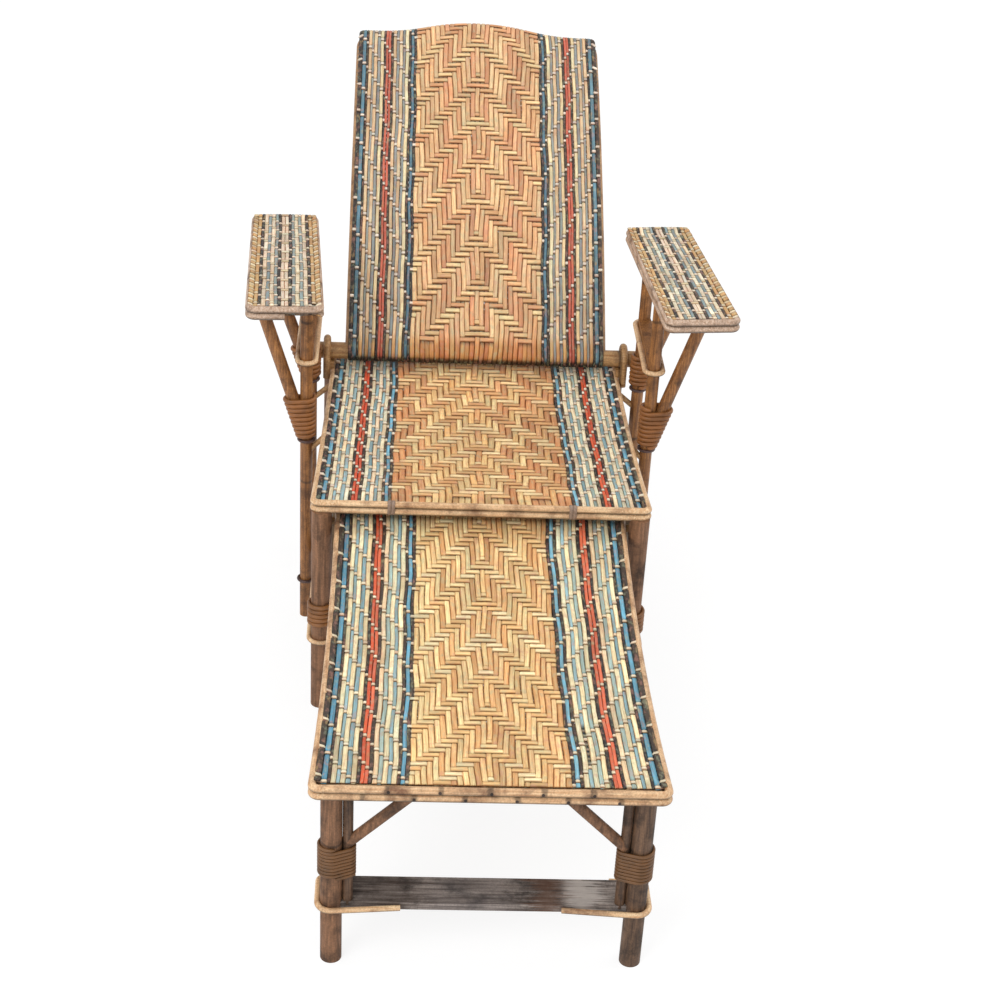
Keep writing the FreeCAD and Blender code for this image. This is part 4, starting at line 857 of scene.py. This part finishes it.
# Bare canes and poles. The CAD shapes stay, and get the finish of old rattan
# and bamboo: bark with streaks along the cane, brown stains and worn patches.
def aged_cane(names, title, pale, middle, dark, grain, turned_grain=None, turned_where=None,
              knots=None, roughness=(0.38, 0.6), stain_share=0.75, painted_shade_below=False,
              nailed=None):
    """Finishes some CAD nodes as old cane, and gives the finish's node tree.

    grain is how often streaks change per metre along x, y and z. turned_grain
    is used instead where turned_where = (axis, least distance from the middle
    plane) holds. knots gives the axis and spacing of the dark rings where
    leaves once grew. painted_shade_below adds painted shade: it darkens
    whatever faces down, to a fifth at most. nailed gives the spacing and
    offset along x of nails that have left a dark mark on each side of their
    heads.
    """
    made, tree = bare_finish(title)
    place = add(tree, "ShaderNodeTexCoord").outputs["Object"]
    apart = add(tree, "ShaderNodeSeparateXYZ", {0: place})
    streaks = []
    for scale in filter(None, (grain, turned_grain)):
        streak_place = add(tree, "ShaderNodeMapping", {"Vector": place, "Scale": scale})
        streaks.append(add(tree, "ShaderNodeTexNoise", {
            "Vector": streak_place, "Scale": 1.0, "Detail": 4.0, "Roughness": 0.62}))
    streak = streaks[0]
    if turned_grain:
        distance = add(tree, "ShaderNodeMath", {
            0: apart.outputs[turned_where[0]]}, operation="ABSOLUTE")
        beyond = add(tree, "ShaderNodeMath", {
            0: distance, 1: turned_where[1]}, operation="GREATER_THAN")
        streak = add(tree, "ShaderNodeMix", {
            0: beyond, 2: streaks[0], 3: streaks[1]}, data_type="FLOAT")
    sharp = add(tree, "ShaderNodeMapRange", {"Value": streak, "From Min": 0.34, "From Max": 0.66})
    bark = add(tree, "ShaderNodeMix", {
        0: sharp, 6: linear(middle), 7: linear(pale)}, data_type="RGBA")
    # Stains 20 to 60 mm across, and specks of about 2 mm
    stain = add(tree, "ShaderNodeTexNoise", {
        "Vector": place, "Scale": 26.0, "Detail": 6.0, "Roughness": 0.68})
    stained = add(tree, "ShaderNodeMapRange", {
        "Value": stain, "From Min": 0.47, "From Max": 0.68, "To Max": stain_share})
    brown = add(tree, "ShaderNodeMix", {0: stained, 6: bark, 7: linear(dark)}, data_type="RGBA")
    speck = add(tree, "ShaderNodeTexNoise", {"Vector": place, "Scale": 420.0, "Detail": 2.0})
    shades = [add(tree, "ShaderNodeMapRange", {
        "Value": speck, "From Min": 0.35, "From Max": 0.65, "To Min": 0.82, "To Max": 1.12})]
    if knots:
        uneven = add(tree, "ShaderNodeTexNoise", {"Vector": place, "Scale": 3.0, "Detail": 1.0})
        spread = add(tree, "ShaderNodeMath", {
            0: uneven, 1: 0.12, 2: apart.outputs[knots[0]]}, operation="MULTIPLY_ADD")
        wave = add(tree, "ShaderNodeMath", {0: spread, 1: knots[1] / 2}, operation="PINGPONG")
        shades.append(add(tree, "ShaderNodeMapRange", {
            "Value": wave, "From Min": 0.0012, "From Max": 0.004, "To Min": 0.42}))
    # Painted shade: surfaces that face down are darkened, down to a fifth of their colour
    if painted_shade_below:
        facing = add(tree, "ShaderNodeTexCoord").outputs["Normal"]
        level = add(tree, "ShaderNodeSeparateXYZ", {0: facing}).outputs["Z"]
        shades.append(add(tree, "ShaderNodeMapRange", {
            "Value": level, "From Min": -0.6, "From Max": 0.12, "To Min": 0.2}))
    if nailed:
        moved = add(tree, "ShaderNodeMath", {
            0: stain, 1: 0.02, 2: apart.outputs["X"]}, operation="MULTIPLY_ADD")
        counted = add(tree, "ShaderNodeMath", {
            0: moved, 1: 20 * nailed[0] - nailed[1] - 0.01}, operation="ADD")
        wave = add(tree, "ShaderNodeMath", {0: counted, 1: nailed[0] / 2}, operation="PINGPONG")
        mark = add(tree, "ShaderNodeMapRange", {
            "Value": wave, "From Min": 0.0025, "From Max": 0.0055, "To Min": 0.42})
        sideways = add(tree, "ShaderNodeMath", {0: apart.outputs["X"]}, operation="ABSOLUTE")
        at_side = add(tree, "ShaderNodeMath", {0: sideways, 1: 0.19}, operation="GREATER_THAN")
        shades.append(add(tree, "ShaderNodeMath", {0: mark, 1: at_side}, operation="MAXIMUM"))
    shade = shades[0]
    for other in shades[1:]:
        shade = add(tree, "ShaderNodeMath", {0: shade, 1: other}, operation="MULTIPLY")
    toned = add(tree, "ShaderNodeVectorMath", {0: brown, "Scale": shade}, operation="SCALE")
    gloss = add(tree, "ShaderNodeMapRange", {
        "Value": stain, "From Min": 0.35, "From Max": 0.7, "To Min": roughness[0],
        "To Max": roughness[1]})
    relief = add(tree, "ShaderNodeBump", {"Height": streak, "Strength": 0.55, "Distance": 0.0005})
    shader = add(tree, "ShaderNodeBsdfPrincipled", {
        "Base Color": toned, "Roughness": gloss, "IOR": 1.5, "Normal": relief})
    add(tree, "ShaderNodeOutputMaterial", {"Surface": shader})
    for name in names.split():
        piece = nodes[name]
        if not piece.material_slots:
            piece.data.materials.append(made)
        for slot in piece.material_slots:
            slot.material = made
    return tree


upright_grain, deep_grain, wide_grain = (330, 330, 14), (330, 14, 330), (14, 330, 330)

# Arm poles, braces and props: stripped bamboo-like poles with a dark ring at
# each joint, varnished amber once.
aged_cane("arm_pole_front_left arm_pole_front_right arm_pole_rear_left arm_pole_rear_right "
          "arm_braces_left arm_braces_right prop_pole_left prop_pole_right rack_stand "
          "arm_spreader_left arm_spreader_right", "varnished_bamboo_poles", "#B07843", "#6C421E",
          "#382011", upright_grain, knots=(2, 0.31))

# Legs and the leg rest's braces: thicker poles of the same kind, their varnish
# gone, grey-brown and stained all over.
aged_cane("front_leg_left front_leg_right rear_leg_left rear_leg_right rest_leg_left rest_braces",
          "weathered_leg_poles", "#94694A", "#65452C", "#33241A", (300, 300, 16), knots=(2, 0.24),
          roughness=(0.55, 0.8), stain_share=0.9)

# Right leg and posts of the leg rest: the dirtiest poles, which have stood in
# the wet, dark brown with damp.
aged_cane("rest_leg_right rest_posts", "damp_dark_leg_pole", "#74563E", "#442E1E", "#20150E",
          (300, 300, 16), knots=(2, 0.24), roughness=(0.5, 0.75), stain_share=0.95)

# Bars that lie across the chair, and the hoops and pads that hold the rod:
# round canes, their varnish still on.
aged_cane("back_rod prop_hinge_bar prop_foot_bar slide_bar pole_spacers rod_hoop_left "
          "rod_hoop_right rod_pads", "varnished_cross_bars", "#C29A68", "#9C6E40", "#62432A",
          wide_grain, knots=(0, 0.29))

# Rims: bent canes with their tan bark, along the sides and the front. The leg
# rest's two are nailed every 66 mm, one rim half a step from the other.
# All rims here get painted shade: they are darker where they face down
aged_cane("seat_rims seat_rail rest_rail cane_loops board_edging", "bent_rim_canes", "#F0CFA4",
          "#D0A072", "#74492F", wide_grain, deep_grain, (0, 0.212), roughness=(0.4, 0.62),
          stain_share=0.75, painted_shade_below=True)
for name, nail_offset in (("rest_rim_upper", 0.0), ("rest_rim_lower", 0.033)):
    aged_cane(name, "nailed_" + name, "#EBC79C", "#C8986C", "#6A4029", wide_grain, deep_grain,
              (0, 0.212), roughness=(0.4, 0.62), stain_share=0.85, painted_shade_below=True,
              nailed=(0.066, nail_offset))
aged_cane("arm_rims_left arm_rims_right", "bent_arm_rims", "#DCC2AC", "#A88468", "#543A2C",
          deep_grain, roughness=(0.4, 0.62), stain_share=0.85, painted_shade_below=True)

# Frame of the back: one thick cane, steamed and bent over at the top, and
# browned where hands have held it.
aged_cane("back_frame", "bent_back_frame", "#C59A6C", "#9A6C42", "#5C4029", (330, 20, 60),
          roughness=(0.42, 0.64))

# Boards and battens between the legs and behind the seat: sawn softwood, gone
# grey or brown and split along the grain.
aged_cane("rear_board", "weathered_board", "#A89A90", "#4C3C36", "#1C1616", (10, 260, 420),
          roughness=(0.7, 0.9), stain_share=0.85)
aged_cane("runner_left runner_right side_stretcher_left side_stretcher_right rack_left rack_right",
          "weathered_battens", "#8C7458", "#66503A", "#3A2E24", (260, 10, 420),
          roughness=(0.65, 0.88), stain_share=0.8)

# Foot board: the same softwood, with a bleached patch near its right end, a
# reddish brown stretch beside it, a grey middle and a dark brown left end.
# The patches end in torn streaks along the grain.
tree = aged_cane("foot_board", "weathered_foot_board", "#A2968E", "#40332D", "#1C1615",
                 (11, 210, 380), roughness=(0.7, 0.9), stain_share=0.9)
shader = next(node for node in tree.nodes if node.type == "BSDF_PRINCIPLED")
under = shader.inputs["Base Color"].links[0].from_socket
place = add(tree, "ShaderNodeTexCoord").outputs["Object"]
apart = add(tree, "ShaderNodeSeparateXYZ", {0: place})
torn_place = add(tree, "ShaderNodeMapping", {"Vector": place, "Scale": (9, 230, 420)})
ragged = add(tree, "ShaderNodeTexNoise", {
    "Vector": torn_place, "Scale": 1.0, "Detail": 5.0, "Roughness": 0.7})
for middle_x, half_width, code, most in (
        (0.130, 0.026, "#BDB4AD", 0.72), (0.085, 0.024, "#5C3F2E", 0.75),
        (-0.02, 0.060, "#7E7674", 0.25), (-0.14, 0.050, "#3A2C24", 0.45)):
    offset = add(tree, "ShaderNodeMath", {0: apart.outputs["X"], 1: middle_x}, operation="SUBTRACT")
    distance = add(tree, "ShaderNodeMath", {0: offset}, operation="ABSOLUTE")
    roughened = add(tree, "ShaderNodeMath", {
        0: ragged, 1: 0.16, 2: distance}, operation="MULTIPLY_ADD")
    share = add(tree, "ShaderNodeMapRange", {
        "Value": roughened, "From Min": half_width + 0.066, "From Max": half_width + 0.082,
        "To Min": most, "To Max": 0.0})
    under = add(tree, "ShaderNodeMix", {0: share, 6: under, 7: linear(code)}, data_type="RGBA")
tree.links.new(under.outputs[2], shader.inputs["Base Color"])

# Rings under the windings: flat split cane, wound close round each pole and
# stained a dark purplish brown.
aged_cane("pole_rings", "dark_stained_rings", "#5E4038", "#412C28", "#241A18", (260, 260, 60))

# Nails that hold the leg rest's rims at the front: small, of iron, and
# brown-black with rust.
aged_cane("rest_nails", "rusted_iron_nails", "#4A3428", "#2C211C", "#171210", (500, 500, 500),
          roughness=(0.6, 0.85))
